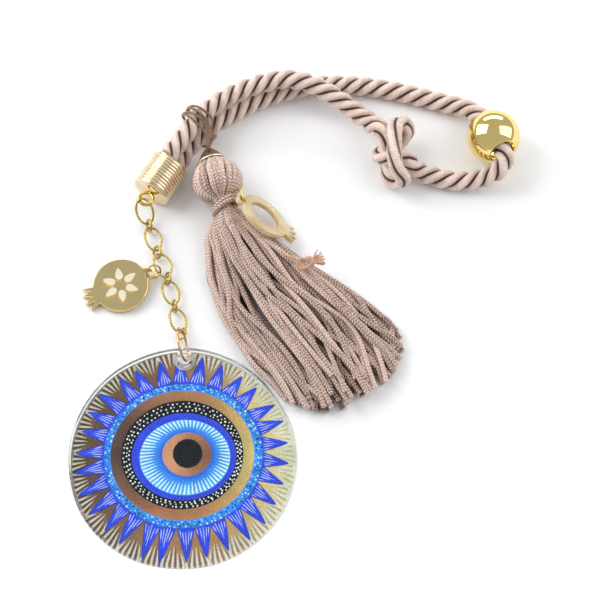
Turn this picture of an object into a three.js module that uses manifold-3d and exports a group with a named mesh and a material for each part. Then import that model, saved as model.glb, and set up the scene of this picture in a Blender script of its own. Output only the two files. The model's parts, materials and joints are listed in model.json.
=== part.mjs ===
// Evil eye ornament: a clear disc with a printed eye, hung by a jump ring and a short chain
// from a ribbed end cap.  A satin rope loop leaves the cap, passes through a gold bead and an
// overhand knot, and comes back to the cap.  A braided tassel hangs from a thin cord tied round
// both rope runs, and two pomegranate charms ride on small jump rings.
//
// Millimetres, +Z up.  The ornament lies face up on a table: the disc is nearest the front (-Y),
// the rope loop is at the back.  All places are first given from the middle of the disc; the last
// step moves the origin to the middle of the footprint, on the table.
import * as THREE from 'three';
import { mergeVertices } from 'three/addons/utils/BufferGeometryUtils.js';
import Module from 'manifold-3d';

const wasm = await Module();
wasm.setup();

// ---------------------------------------------------------------- driving dimensions
const DEG = Math.PI / 180;
const CLEAR = 0.3;                  // running gap between linked wires

const DISC = { radius: 40, thickness: 4, holeRadius: 2.5, holeAt: 36.9, tilt: 1.5 * DEG };
const FILM = { thickness: 0.25, gap: 0.1, inset: 0.4, bite: 3.7 };
const DISC_RING = { radius: 6, wire: 1, beyondHole: 4.6, lean: 14 * DEG };

const BIG_LINK = { halfLength: 4.85, halfWidth: 3.0, wire: 1 };
const CONNECTOR = { radius: 2.2, wire: 1 };
// Per pair, of the big link and its connector: heading from -Y towards +X, climb, and roll from
// lying flat, all in degrees.
const CHAIN = [
  { link: { heading: 20, climb: -37, roll: 0 }, connector: { heading: 18, roll: 70 } },
  { link: { heading: 16, roll: -15 }, connector: { heading: 20, roll: 52 } },
  { link: { heading: 23, roll: -5 }, connector: { heading: 8, roll: 60 } },
  { link: { heading: 16, roll: -15 }, connector: { heading: 12, roll: 72 } },
  { link: { heading: 15, roll: -20 }, connector: { heading: 10, climb: 20, roll: 38 } },
];

const CAP = { radius: 7.25, bore: 6.55, length: 14, wall: 1, ribs: 9, ribDepth: 0.35 };
const CAP_FACE = [-15.4, 102.8];    // middle of the closed end
const CAP_HEADING = 58.9 * DEG;     // from +X, towards the open mouth
const EYELET = { radius: 2.5, wire: 1.3, standOff: 2.9, shank: 0.8, head: 1.6, clear: 0.8 };
const CORE = { radius: 6.1, gap: 0.5 };

const ROPE = { diameter: 7.4, sides: 8 };
const BEAD = { radius: 10, wall: 1, hole: 4.75, at: [112.2, 125.2, 10], bore: [0.355, -0.896, 0.262] };
const KNOT = { radius: 7.4, length: 16.5, at: [76.1, 118.8, 7.6], lean: 5.5 * DEG };

const TASSEL = { apex: [5.6, 119.9, 9.75], heading: 16 * DEG };
const CONE = { rim: 5.6, height: 6.2, wall: 0.5, hole: 0.9 };
const HEAD = { radius: 9.7, neckAt: 25, neck: 3.1, end: 27.2 };
const TIE = { radius: 5, wire: 1.5 };
const CHARM_RING_A = { radius: 2.6, wire: 0.7, aside: 4.0, along: 1.2, rise: 0.5, recline: 35 * DEG };
const CHARM_RING_B = { radius: 2.9, wire: 0.7, atNeck: 45 * DEG, atRing: 60 * DEG };
const POMEGRANATE = { radius: 10.2, tabAt: 10.3, tab: 2.4, hole: 1.45, crownFrom: 8.6, crown: 13.4, thick: 1.8 };
const CHARM_A = { heading: 204 * DEG, rise: 3.8 * DEG };
const CHARM_B = { heading: -23.7 * DEG, dip: 31 * DEG, roll: 38 * DEG, opening: 6.3 };

// The rope's route, chosen by hand: out of the cap along the table, into the bead and down
// again to the knot.
const BEAD_RUN = [
  [-6.9, 114.7, 4.3], [-4.3, 119.3, 4.5], [-1.2, 124.6, 4.9], [3.4, 130.0, 5.1], [8.0, 133.9, 4.7],
  [13.8, 138.2, 4.0], [19.8, 142.1, 3.8], [26.2, 145.4, 3.8], [33.0, 148.1, 3.8], [41.5, 150.5, 3.8],
  [50.0, 151.5, 3.8], [58.0, 151.3, 3.8], [66.0, 150.5, 3.8], [75.0, 148.9, 3.8], [84.5, 146.4, 3.8],
  [93.0, 143.8, 3.9], [99.6, 141.6, 4.4], [105.2, 138.4, 5.8], [109.1, 133.0, 7.7], [112.2, 125.2, 10.0],
  [115.2, 117.6, 12.2], [115.6, 113.9, 11.6], [113.2, 111.2, 8.9], [109.0, 110.2, 6.0],
  [104.2, 109.6, 4.4], [99.2, 109.7, 3.8], [94.0, 110.4, 3.8], [89.0, 111.9, 3.8], [83.9, 113.9, 3.8],
];
// The other run: out of the cap on top of the first, over it and down to the knot.
const KNOT_RUN = [
  [-8.9, 115.9, 11.9], [-5.6, 120.9, 12.0], [-2.2, 126.6, 12.1], [1.2, 132.3, 12.0], [6.2, 137.9, 11.4],
  [12.2, 142.6, 10.8], [19.6, 146.5, 10.6], [26.6, 148.6, 10.8], [33.4, 149.3, 11.5], [39.8, 148.6, 11.5],
  [45.8, 146.7, 10.6], [51.4, 144.0, 9.4], [56.4, 141.0, 8.0], [61.2, 137.4, 6.9], [69.4, 130.4, 6.2],
];
// The thin cord that ties the tassel round both rope runs.
const HANG_LOOP = { wire: 1, route: [
  [5.6, 120.5, 9.8], [6.7, 123.8, 8.2], [7.5, 127.3, 4.8], [6.6, 128.2, 1.9], [3.9, 130.1, 0.55],
  [1.0, 132.3, 1.7], [-0.4, 133.3, 5.0], [-2.7, 135.2, 11.7], [0.8, 132.5, 16.7], [5.4, 129.1, 13.3],
  [5.9, 124.6, 11.5],
] };
// Tassel skirt: left edge, right edge, bottom and top height at each station from neck to tips.
const SKIRT = [
  { left: [8.9, 91.6], right: [16.9, 93.9], z: [5.2, 13.4] },
  { left: [5.4, 86.8], right: [22.6, 89.9], z: [1.6, 13.2] },
  { left: [6.0, 74.0], right: [34.0, 81.5], z: [0.5, 13.0] },
  { left: [9.5, 60.5], right: [48.0, 72.0], z: [0.4, 11.5] },
  { left: [17.0, 46.5], right: [60.5, 63.0], z: [0.4, 10.0] },
  { left: [26.8, 34.6], right: [71.0, 54.0], z: [0.4, 8.5] },
  { left: [35.5, 27.6], right: [77.5, 45.5], z: [0.4, 7.0] },
  { left: [44.0, 21.0], right: [77.0, 34.5], z: [0.4, 5.0] },
];
const SKIRT_SIDES = 12;
const TIE_KNOT = { at: [43.0, 71.6, 11.5], size: [4.4, 2.3, 1.7], heading: -8 * DEG };

// ---------------------------------------------------------------- finishes
const finish = (color, roughness, metalness, opacity = 1) =>
  new THREE.MeshStandardMaterial({ color, roughness, metalness, opacity, transparent: opacity < 1 });
const clearGlass = finish(0xdfe8ea, 0.05, 0, 0.35);
const printedFilm = finish(0x2c53c8, 0.5, 0);
const roseGold = finish(0xd9a066, 0.2, 1);
const chainGold = finish(0xc9a437, 0.3, 1);
const paleGold = finish(0xdcc08a, 0.2, 1);
const beadGold = finish(0xd9bb55, 0.08, 1);
const antiqueGold = finish(0xa0854f, 0.35, 1);
const satinRope = finish(0xc8aaa0, 0.4, 0);
const binding = finish(0xe2d8c8, 0.8, 0);
const brownCord = finish(0x8a6a52, 0.7, 0);
const braid = finish(0xb09088, 0.8, 0);
const peachThread = finish(0xd8a88c, 0.8, 0);
const mirrorGold = finish(0xb8a878, 0.08, 0.9);
const champagneAcrylic = finish(0xdccb96, 0.15, 0, 0.85);

// ---------------------------------------------------------------- helpers
const V = (x, y, z = 0) => new THREE.Vector3(x, y, z);
const point = (list) => new THREE.Vector3(...list);
const headingVector = (angle) => V(Math.sin(angle), -Math.cos(angle));

const ornament = new THREE.Group();

/** A named mesh, added to its parent. */
function piece(name, geometry, material, parent = ornament) {
  const mesh = new THREE.Mesh(geometry, material);
  mesh.name = name;
  parent.add(mesh);
  return mesh;
}

/** A group whose X axis points along `x` and whose Z axis is as near `z` as it can be. */
function placed(at, x, z, parent = ornament) {
  const along = x.clone().normalize();
  const side = z.clone().cross(along).normalize();
  const group = new THREE.Group();
  group.quaternion.setFromRotationMatrix(new THREE.Matrix4().makeBasis(along, side, along.clone().cross(side)));
  group.position.copy(at);
  parent.add(group);
  return group;
}

/** A three.js geometry as a manifold solid. */
function toManifold(geometry) {
  const bare = geometry.clone();
  bare.deleteAttribute('normal');
  bare.deleteAttribute('uv');
  const merged = mergeVertices(bare, 1e-4);
  return new wasm.Manifold(new wasm.Mesh({
    numProp: 3,
    vertProperties: new Float32Array(merged.attributes.position.array),
    triVerts: new Uint32Array(merged.index.array),
  }));
}

/** A manifold solid as a three.js geometry. */
function toGeometry(solid) {
  const mesh = solid.getMesh();
  const geometry = new THREE.BufferGeometry();
  geometry.setAttribute('position', new THREE.BufferAttribute(mesh.vertProperties, 3));
  geometry.setIndex(new THREE.BufferAttribute(mesh.triVerts, 1));
  geometry.computeVertexNormals();
  return geometry;
}

/** A closed round wire along a closed list of points. */
function closedWire(points, wire, steps, sides) {
  const path = new THREE.CatmullRomCurve3(points, true);
  return new THREE.TubeGeometry(path, steps, wire / 2, sides, true);
}

/** An open round bar along a list of points, with flat ends. */
function bar(points, diameter, steps, sides) {
  const section = new THREE.Shape();
  for (let i = 0; i < sides; i += 1) {
    const angle = 2 * Math.PI * (i + 0.5) / sides;
    const corner = [diameter / 2 * Math.cos(angle), diameter / 2 * Math.sin(angle)];
    if (i === 0) section.moveTo(...corner); else section.lineTo(...corner);
  }
  section.closePath();
  const path = new THREE.CatmullRomCurve3(points, false, 'centripetal');
  return new THREE.ExtrudeGeometry(section, { steps, extrudePath: path });
}

/** A lathe profile of [radius, height] pairs, turned so that its height runs along X. */
function turned(profile, segments) {
  const geometry = new THREE.LatheGeometry(profile.map(([r, h]) => new THREE.Vector2(r, h)), segments);
  return geometry.rotateZ(-Math.PI / 2);
}

/** A profile that closes on itself. */
const ringProfile = (profile) => [...profile, profile[0]];

// ---------------------------------------------------------------- cap, eyelet and rope ends
const capAxis = V(Math.cos(CAP_HEADING), Math.sin(CAP_HEADING));
const capFace = V(CAP_FACE[0], CAP_FACE[1], CAP.radius);

function ribbedCap() {
  const { radius, bore, length, wall, ribs, ribDepth } = CAP;
  const pitch = length / (ribs + 1);
  const outside = [[radius - 0.5, 0], [radius, 0.5]];
  for (let i = 1; i <= ribs; i += 1) {
    outside.push([radius, i * pitch - 0.2], [radius - ribDepth, i * pitch], [radius, i * pitch + 0.2]);
  }
  outside.push([radius, length]);
  const inside = [[bore, length], [bore, wall], [EYELET.shank + 0.3, wall], [EYELET.shank + 0.3, 0]];
  return turned(ringProfile([...outside, ...inside]), 20);
}

function capEyelet() {
  const ring = new THREE.TorusGeometry(EYELET.radius, EYELET.wire / 2, 8, 18);
  ring.rotateX(Math.PI / 2);
  ring.translate(-EYELET.standOff, 0, 0);
  const shankEnd = CAP.wall + 0.3;
  const shank = turned([
    [0, -EYELET.standOff + EYELET.radius],
    [EYELET.shank, -EYELET.standOff + EYELET.radius],
    [EYELET.shank, shankEnd],
    [EYELET.head, shankEnd],
    [EYELET.head, shankEnd + 0.7],
    [0, shankEnd + 0.7],
  ], 12);
  return toGeometry(toManifold(ring).add(toManifold(shank)));
}

const capGroup = placed(capFace, capAxis, V(0, 0, 1));
piece('end_cap', ribbedCap(), paleGold, capGroup);
piece('cap_eyelet', capEyelet(), chainGold, capGroup);
const coreFrom = CAP.wall + 1 + 2 * CORE.gap;
piece('rope_end_core', turned([
  [0, coreFrom], [CORE.radius, coreFrom], [CORE.radius, CAP.length - CORE.gap], [0, CAP.length - CORE.gap],
], 16), binding, capGroup);

// ---------------------------------------------------------------- rope, bead and knot
piece('rope_bead_run', bar(BEAD_RUN.map(point), ROPE.diameter, 40, ROPE.sides), satinRope);
piece('rope_knot_run', bar(KNOT_RUN.map(point), ROPE.diameter, 20, ROPE.sides), satinRope);

const knot = new THREE.CapsuleGeometry(KNOT.radius, KNOT.length, 4, 12);
const knotMesh = piece('rope_knot', knot, satinRope);
knotMesh.rotation.z = -KNOT.lean;
knotMesh.position.set(...KNOT.at);

function hollowBead() {
  const { radius, wall, hole } = BEAD;
  const inner = radius - wall;
  const outerFrom = Math.asin(hole / radius);
  const innerFrom = Math.asin(hole / inner);
  const steps = 9;
  const profile = [];
  for (let i = 0; i <= steps; i += 1) {
    const angle = outerFrom + (Math.PI - 2 * outerFrom) * i / steps;
    profile.push([radius * Math.sin(angle), radius * Math.cos(angle)]);
  }
  for (let i = steps; i >= 0; i -= 1) {
    const angle = innerFrom + (Math.PI - 2 * innerFrom) * i / steps;
    profile.push([inner * Math.sin(angle), inner * Math.cos(angle)]);
  }
  return turned(ringProfile(profile.reverse()), 20);
}

const beadGroup = placed(point(BEAD.at), point(BEAD.bore), V(0, 0, 1));
piece('spacer_bead', hollowBead(), beadGold, beadGroup);

// ---------------------------------------------------------------- chain
const joints = {};
const wireStep = BIG_LINK.wire + CLEAR;
const bigGeometry = () => {
  const points = [];
  const corners = 16;
  for (let i = 0; i < corners; i += 1) {
    const angle = 2 * Math.PI * i / corners;
    points.push(V(BIG_LINK.halfLength * Math.cos(angle), BIG_LINK.halfWidth * Math.sin(angle)));
  }
  return closedWire(points, BIG_LINK.wire, 20, 6);
};

/** Places one link: its near end at `near`, running along `direction`, rolled about it. */
function chainLink(name, near, direction, roll, half, geometry) {
  const level = V(0, 0, 1).cross(direction).normalize();
  const up = direction.clone().cross(level).applyAxisAngle(direction, roll * DEG);
  const middle = near.clone().addScaledVector(direction, half);
  const group = placed(middle, direction, up);
  piece(name, geometry, chainGold, group);
  return { group, middle, far: near.clone().addScaledVector(direction, 2 * half), direction };
}

/** Unit vector at a heading from -Y towards +X, climbing by `climb`. */
function chainDirection({ heading, climb = 0 }) {
  const flat = headingVector(heading * DEG).multiplyScalar(Math.cos(climb * DEG));
  return flat.add(V(0, 0, Math.sin(climb * DEG)));
}

// Each link hangs on the far end of the one before it.
let previousFar = capFace.clone().addScaledVector(capAxis, -EYELET.standOff - EYELET.radius);
let lastConnectorWire = V(1, 0);
const links = [];
CHAIN.forEach((pair, i) => {
  const n = i + 1;
  const along = chainDirection(pair.link);
  const slack = i === 0 ? (EYELET.wire + BIG_LINK.wire) / 2 + EYELET.clear : wireStep;
  const near = previousFar.clone().addScaledVector(along, -slack);
  joints[`link_${n}_swing`] = { at: previousFar.clone(), axis: V(0, 0, 1) };
  const big = chainLink(`chain_link_${n}`, near, along, pair.link.roll, BIG_LINK.halfLength, bigGeometry());
  links.push(big);
  const next = chainDirection(pair.connector);
  joints[`connector_${n}_fold`] = { at: big.far.clone(), axis: V(0, 0, 1).cross(next).normalize() };
  const small = chainLink(`chain_connector_${n}`, big.far.clone().addScaledVector(next, -wireStep), next,
    pair.connector.roll, CONNECTOR.radius,
    new THREE.TorusGeometry(CONNECTOR.radius, CONNECTOR.wire / 2, 6, 16));
  previousFar = small.far.clone();
  lastConnectorWire = V(0, 1, 0).applyQuaternion(small.group.quaternion);
});

// ---------------------------------------------------------------- disc, film and ring
// The ring stands on the table with its wire under the disc's rim, so the rim is lifted a little.
const ringHeight = DISC_RING.radius * Math.cos(DISC_RING.lean) + DISC_RING.wire / 2 + 0.05;
const ringReach = DISC_RING.radius - wireStep - 0.1;
const ringDip = Math.asin((ringHeight - previousFar.z) / ringReach);
const lastHeading = headingVector(8 * DEG);
const ringMiddle = previousFar.clone().addScaledVector(lastHeading, ringReach * Math.cos(ringDip));
ringMiddle.z = ringHeight;
const ringGroup = placed(ringMiddle, lastHeading, V(1, 0, 0).applyAxisAngle(lastHeading, DISC_RING.lean));
piece('disc_ring', new THREE.TorusGeometry(DISC_RING.radius, DISC_RING.wire / 2, 6, 20), roseGold, ringGroup);
joints.disc_ring_swing = { at: previousFar.clone(), axis: lastConnectorWire };

/** Radius of the hand-cut rim at an angle. */
function rim(angle) {
  return DISC.radius + 0.28 * Math.cos(2 * angle + 2.9) + 0.22 * Math.cos(3 * angle + 1.1)
    + 0.14 * Math.cos(5 * angle - 0.6) + 0.08 * Math.sin(9 * angle);
}

function rimPoints(inset, from = 0, to = 2 * Math.PI, count = 48) {
  const points = [];
  for (let i = 0; i < count; i += 1) {
    const angle = from + (to - from) * i / count;
    const radius = rim(angle) - inset;
    points.push(new THREE.Vector2(radius * Math.cos(angle), radius * Math.sin(angle)));
  }
  return points;
}

function discBlank() {
  const shape = new THREE.Shape(rimPoints(0));
  const hole = new THREE.Path();
  hole.absarc(0, DISC.holeAt, DISC.holeRadius, 0, 2 * Math.PI, true);
  shape.holes.push(hole);
  return new THREE.ExtrudeGeometry(shape, { depth: DISC.thickness, bevelEnabled: false, curveSegments: 10 });
}

/** The printed layer: the rim's outline with a clear bite round the hole. */
function filmBlank() {
  const half = Math.asin(FILM.bite / DISC.radius);
  const top = Math.PI / 2;
  const outline = rimPoints(FILM.inset, top + half, top - half + 2 * Math.PI, 46);
  const steps = 8;
  for (let i = 0; i <= steps; i += 1) {
    const angle = -i * Math.PI / steps;
    outline.push(new THREE.Vector2(FILM.bite * Math.cos(angle), DISC.holeAt - 0.4 + FILM.bite * Math.sin(angle)));
  }
  return new THREE.ExtrudeGeometry(new THREE.Shape(outline), { depth: FILM.thickness, bevelEnabled: false });
}

const discGroup = new THREE.Group();
discGroup.rotation.x = DISC.tilt;
const holeReach = DISC.holeAt * Math.cos(DISC.tilt);
discGroup.position.set(
  ringMiddle.x + DISC_RING.beyondHole * lastHeading.x,
  ringMiddle.y - DISC_RING.beyondHole - holeReach,
  (DISC.radius + 0.2) * Math.sin(DISC.tilt),
);
ornament.add(discGroup);
piece('eye_film', filmBlank(), printedFilm, discGroup);
const disc = piece('eye_disc', discBlank(), clearGlass, discGroup);
disc.position.z = FILM.thickness + FILM.gap;
joints.disc_tip = {
  at: discGroup.position.clone().add(V(0, holeReach + DISC.holeRadius + 0.6, 3.4)),
  axis: V(1, 0, 0),
};

// ---------------------------------------------------------------- pomegranate charms
/** Outline of a pomegranate, with the fruit at the origin, its crown along +X and its tab along -X. */
function pomegranateShape() {
  const { radius, tabAt, tab, hole, crownFrom, crown } = POMEGRANATE;
  const crownHalf = 3.4;
  const crownAngle = Math.asin(crownHalf / radius);
  const shape = new THREE.Shape();
  const tabAngle = Math.asin(tab / radius) * 0.95;
  shape.absarc(0, 0, radius, crownAngle, Math.PI - tabAngle, false);
  shape.absarc(-tabAt, 0, tab, 110 * DEG, 250 * DEG, false);
  shape.absarc(0, 0, radius, Math.PI + tabAngle, 2 * Math.PI - crownAngle, false);
  const tips = [[crown, -4.6], [crownFrom + 2.2, -2.2], [crown + 0.9, -1.6], [crownFrom + 2.4, 0],
    [crown + 0.9, 1.6], [crownFrom + 2.2, 2.2], [crown, 4.6]];
  tips.forEach(([x, y]) => shape.lineTo(x, y));
  shape.closePath();
  const eye = new THREE.Path();
  eye.absarc(-tabAt, 0, hole, 0, 2 * Math.PI, true);
  shape.holes.push(eye);
  return shape;
}

function pomegranatePlate(opening = 0) {
  const shape = pomegranateShape();
  if (opening > 0) {
    const window = new THREE.Path();
    window.absarc(0, 0, opening, 0, 2 * Math.PI, true);
    shape.holes.push(window);
  }
  const plate = new THREE.ExtrudeGeometry(shape, {
    depth: POMEGRANATE.thick, bevelEnabled: false, curveSegments: 9,
  });
  return plate.translate(POMEGRANATE.tabAt, 0, -POMEGRANATE.thick / 2);
}

// Charm A: its ring goes round the left side of the third big link.
const host = links[2];
const leftOfHost = V(0, 0, 1).cross(host.direction).normalize().negate();
const ringAMiddle = host.middle.clone()
  .addScaledVector(host.direction, CHARM_RING_A.along)
  .addScaledVector(leftOfHost, CHARM_RING_A.aside)
  .add(V(0, 0, CHARM_RING_A.rise));
const ringANormal = host.direction.clone().applyAxisAngle(leftOfHost, CHARM_RING_A.recline);
const ringAGroup = placed(ringAMiddle, leftOfHost, ringANormal);
piece('charm_ring_a', new THREE.TorusGeometry(CHARM_RING_A.radius, CHARM_RING_A.wire / 2, 6, 16), roseGold, ringAGroup);
const sideWire = BIG_LINK.halfWidth * Math.sqrt(1 - (CHARM_RING_A.along / BIG_LINK.halfLength) ** 2);
joints.charm_a_ring_swing = {
  at: host.middle.clone().addScaledVector(leftOfHost, sideWire),
  axis: host.direction.clone(),
};

const charmAHole = ringAMiddle.clone().addScaledVector(leftOfHost, CHARM_RING_A.radius);
charmAHole.z -= 0.5;
const charmAAxis = V(Math.cos(CHARM_A.heading), Math.sin(CHARM_A.heading), -Math.tan(CHARM_A.rise)).normalize();
const charmAGroup = placed(charmAHole, charmAAxis, V(0, 0, 1));
piece('pomegranate_charm', pomegranatePlate(), mirrorGold, charmAGroup);
joints.charm_a_swing = { at: charmAHole.clone(), axis: V(0, 0, 1) };

// ---------------------------------------------------------------- tassel
const apex = point(TASSEL.apex);
const tasselAxis = headingVector(TASSEL.heading);
const tasselGroup = placed(apex, tasselAxis, V(0, 0, 1));
piece('tassel_hang_loop', closedWire(HANG_LOOP.route.map(point), HANG_LOOP.wire, 36, 6), brownCord);
joints.tassel_swing = { at: apex.clone(), axis: V(0, 0, 1) };

piece('tassel_cone', turned(ringProfile([
  [CONE.hole, 0.3], [CONE.hole + 0.6, 0.3], [CONE.rim * 0.62, 2.6], [CONE.rim, CONE.height],
  [CONE.rim - CONE.wall, CONE.height], [CONE.rim * 0.62 - CONE.wall, 2.9], [CONE.hole, 1.0],
]), 16), antiqueGold, tasselGroup);
piece('tassel_head', turned([
  [0, 3.6], [1.6, 3.8], [4.3, CONE.height], [7.0, 8.4], [9.0, 11.4], [HEAD.radius, 14.6], [8.9, 17.8],
  [6.3, 20.6], [HEAD.neck, 22.2], [HEAD.neck, HEAD.end], [0, HEAD.end],
], 16), braid, tasselGroup);
const neckGroup = new THREE.Group();
neckGroup.position.x = HEAD.neckAt;
tasselGroup.add(neckGroup);
const tie = piece('neck_tie', new THREE.TorusGeometry(TIE.radius, TIE.wire / 2, 6, 20), braid, neckGroup);
tie.rotation.y = Math.PI / 2;

/** A closed solid through flattened round sections. */
function loft(stations, sides) {
  const positions = [];
  const index = [];
  stations.forEach(({ left, right, z }) => {
    const a = V(...left);
    const b = V(...right);
    const middle = a.clone().add(b).multiplyScalar(0.5);
    middle.z = (z[0] + z[1]) / 2;
    const side = b.clone().sub(a).multiplyScalar(0.5);
    for (let k = 0; k < sides; k += 1) {
      const angle = 2 * Math.PI * k / sides;
      const p = middle.clone().addScaledVector(side, Math.cos(angle));
      positions.push(p.x, p.y, p.z + (z[1] - z[0]) / 2 * Math.sin(angle));
    }
  });
  const rings = stations.length;
  for (let i = 0; i + 1 < rings; i += 1) {
    for (let k = 0; k < sides; k += 1) {
      const a = i * sides + k;
      const b = i * sides + (k + 1) % sides;
      index.push(a, b, b + sides, a, b + sides, a + sides);
    }
  }
  for (let k = 1; k + 1 < sides; k += 1) {
    index.push(0, k + 1, k);
    const last = (rings - 1) * sides;
    index.push(last, last + k, last + k + 1);
  }
  const geometry = new THREE.BufferGeometry();
  geometry.setAttribute('position', new THREE.Float32BufferAttribute(positions, 3));
  geometry.setIndex(index);
  geometry.computeVertexNormals();
  return geometry;
}
piece('tassel_skirt', loft(SKIRT, SKIRT_SIDES), braid);

const threadKnot = piece('tie_knot', new THREE.SphereGeometry(1, 10, 6), peachThread);
threadKnot.scale.set(...TIE_KNOT.size);
threadKnot.rotation.z = TIE_KNOT.heading;
threadKnot.position.set(...TIE_KNOT.at);

// Charm B: its ring goes round the neck tie, and the plate leans on the tassel's right flank.
const neckMiddle = apex.clone().addScaledVector(tasselAxis, HEAD.neckAt);
const rightOfTassel = V(0, 0, 1).cross(tasselAxis).normalize();
const outward = rightOfTassel.clone().multiplyScalar(Math.cos(CHARM_RING_B.atNeck))
  .add(V(0, 0, Math.sin(CHARM_RING_B.atNeck)));
const tieTangent = rightOfTassel.clone().multiplyScalar(-Math.sin(CHARM_RING_B.atNeck))
  .add(V(0, 0, Math.cos(CHARM_RING_B.atNeck)));
const ringBReach = TIE.radius - TIE.wire / 2 - CHARM_RING_B.wire / 2 - 0.18 + CHARM_RING_B.radius;
const ringBMiddle = neckMiddle.clone().addScaledVector(outward, ringBReach);
const ringBGroup = placed(ringBMiddle, outward, tieTangent);
piece('charm_ring_b', new THREE.TorusGeometry(CHARM_RING_B.radius, CHARM_RING_B.wire / 2, 6, 16), chainGold, ringBGroup);
joints.charm_b_ring_swing = {
  at: neckMiddle.clone().addScaledVector(outward, TIE.radius),
  axis: tieTangent.clone(),
};

const ringBSpoke = outward.clone().multiplyScalar(Math.cos(CHARM_RING_B.atRing))
  .addScaledVector(tasselAxis, Math.sin(CHARM_RING_B.atRing));
const ringBTangent = outward.clone().multiplyScalar(-Math.sin(CHARM_RING_B.atRing))
  .addScaledVector(tasselAxis, Math.cos(CHARM_RING_B.atRing));
const charmBHole = ringBMiddle.clone().addScaledVector(ringBSpoke, CHARM_RING_B.radius);
const charmBAxis = V(
  Math.cos(CHARM_B.dip) * Math.cos(CHARM_B.heading),
  Math.cos(CHARM_B.dip) * Math.sin(CHARM_B.heading),
  -Math.sin(CHARM_B.dip),
);
const charmBUp = V(0, 0, 1).applyAxisAngle(charmBAxis, -CHARM_B.roll);
const charmBGroup = placed(charmBHole, charmBAxis, charmBUp);
piece('pomegranate_ring_charm', pomegranatePlate(CHARM_B.opening), champagneAcrylic, charmBGroup);
joints.charm_b_swing = { at: charmBHole.clone(), axis: ringBTangent.clone() };
joints.bead_spin = { at: point(BEAD.at), axis: point(BEAD.bore).normalize() };

// ---------------------------------------------------------------- origin
const onTheCord = ['rope_bead_run', 'rope_knot', 'rope_knot_run', 'spacer_bead'];
ornament.updateMatrixWorld(true);
const footprint = new THREE.Box3();
ornament.traverse((node) => {
  if (node.isMesh && !onTheCord.includes(node.name)) footprint.expandByObject(node, true);
});
const middle = footprint.getCenter(V(0, 0));
ornament.position.set(-middle.x, -middle.y, -footprint.min.z);
ornament.updateMatrixWorld(true);
Object.values(joints).forEach((joint) => joint.at.add(ornament.position));
ornament.userData.joints = joints;

export default ornament;
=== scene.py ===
import json
import math
import random

import bpy
import numpy as np
from mathutils.geometry import tessellate_polygon
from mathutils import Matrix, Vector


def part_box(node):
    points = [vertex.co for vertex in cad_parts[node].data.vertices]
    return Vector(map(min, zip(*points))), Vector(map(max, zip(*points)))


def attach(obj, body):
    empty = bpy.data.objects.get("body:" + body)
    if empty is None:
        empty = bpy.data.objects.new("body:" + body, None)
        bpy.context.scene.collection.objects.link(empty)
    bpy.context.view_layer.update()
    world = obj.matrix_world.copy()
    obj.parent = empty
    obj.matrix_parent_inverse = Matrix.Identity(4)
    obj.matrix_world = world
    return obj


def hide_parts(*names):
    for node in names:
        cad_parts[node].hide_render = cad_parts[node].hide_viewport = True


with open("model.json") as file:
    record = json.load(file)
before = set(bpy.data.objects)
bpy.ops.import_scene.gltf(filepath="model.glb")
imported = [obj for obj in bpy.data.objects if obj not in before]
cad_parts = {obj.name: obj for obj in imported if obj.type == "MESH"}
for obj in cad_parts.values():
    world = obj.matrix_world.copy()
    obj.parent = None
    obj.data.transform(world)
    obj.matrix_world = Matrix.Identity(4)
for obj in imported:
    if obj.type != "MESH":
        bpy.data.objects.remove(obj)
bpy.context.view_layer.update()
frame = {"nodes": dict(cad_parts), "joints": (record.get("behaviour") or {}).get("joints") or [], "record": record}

# Lengths are millimetres until a piece is made.  Lists of places are given from the middle of the
# disc, and in_model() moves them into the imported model's frame.
MM = 0.001
TURN = 2 * math.pi
BEAD_AT = np.array([112.2, 125.2, 10.0])
bead_low, bead_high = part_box("spacer_bead")
OFFSET = np.array((bead_low + bead_high) / 2) / MM - BEAD_AT
UP = np.array([0.0, 0.0, 1.0])


def in_model(points):
    """Places given from the middle of the disc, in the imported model's frame."""
    return np.asarray(points, float) + OFFSET


def unit(vector):
    """The vector, or each row of vectors, at length 1."""
    vector = np.asarray(vector, float)
    return vector / np.linalg.norm(vector, axis=-1, keepdims=True)


def srgb(red, green, blue):
    """A display colour, 0 to 255, as linear light."""
    shares = (red / 255, green / 255, blue / 255)
    return tuple(c / 12.92 if c < 11 / 255 else ((c + 0.055) / 1.055) ** 2.4 for c in shares)


# ---------------------------------------------------------------- curves and meshes
def smooth(points, step, closed=False):
    """Evenly spaced points, about `step` apart, on a smooth curve through the given ones."""
    p = np.asarray(points, float)
    ends = (p[-1:], p[:2]) if closed else ([2 * p[0] - p[1]], [2 * p[-1] - p[-2]])
    p = np.vstack([ends[0], p, ends[1]])
    t = np.linspace(0, 1, 24, endpoint=False)[:, None]
    spans = []
    for a, b, c, d in zip(p[:-3], p[1:-2], p[2:-1], p[3:]):
        slope = c - a
        bend = 2 * a - 5 * b + 4 * c - d
        twist = 3 * b - a - 3 * c + d
        spans.append(b + 0.5 * (slope * t + bend * t**2 + twist * t**3))
    line = np.vstack(spans + [p[-2:-1]])
    run = distances(line)
    at = np.linspace(0, run[-1], max(4, round(run[-1] / step)) + 1)
    even = np.column_stack([np.interp(at, run, line[:, k]) for k in range(3)])
    return even[:-1] if closed else even


def distances(line):
    """Distance of each point from the first, along the line."""
    return np.concatenate([[0], np.cumsum(np.linalg.norm(np.diff(line, axis=0), axis=1))])


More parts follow.
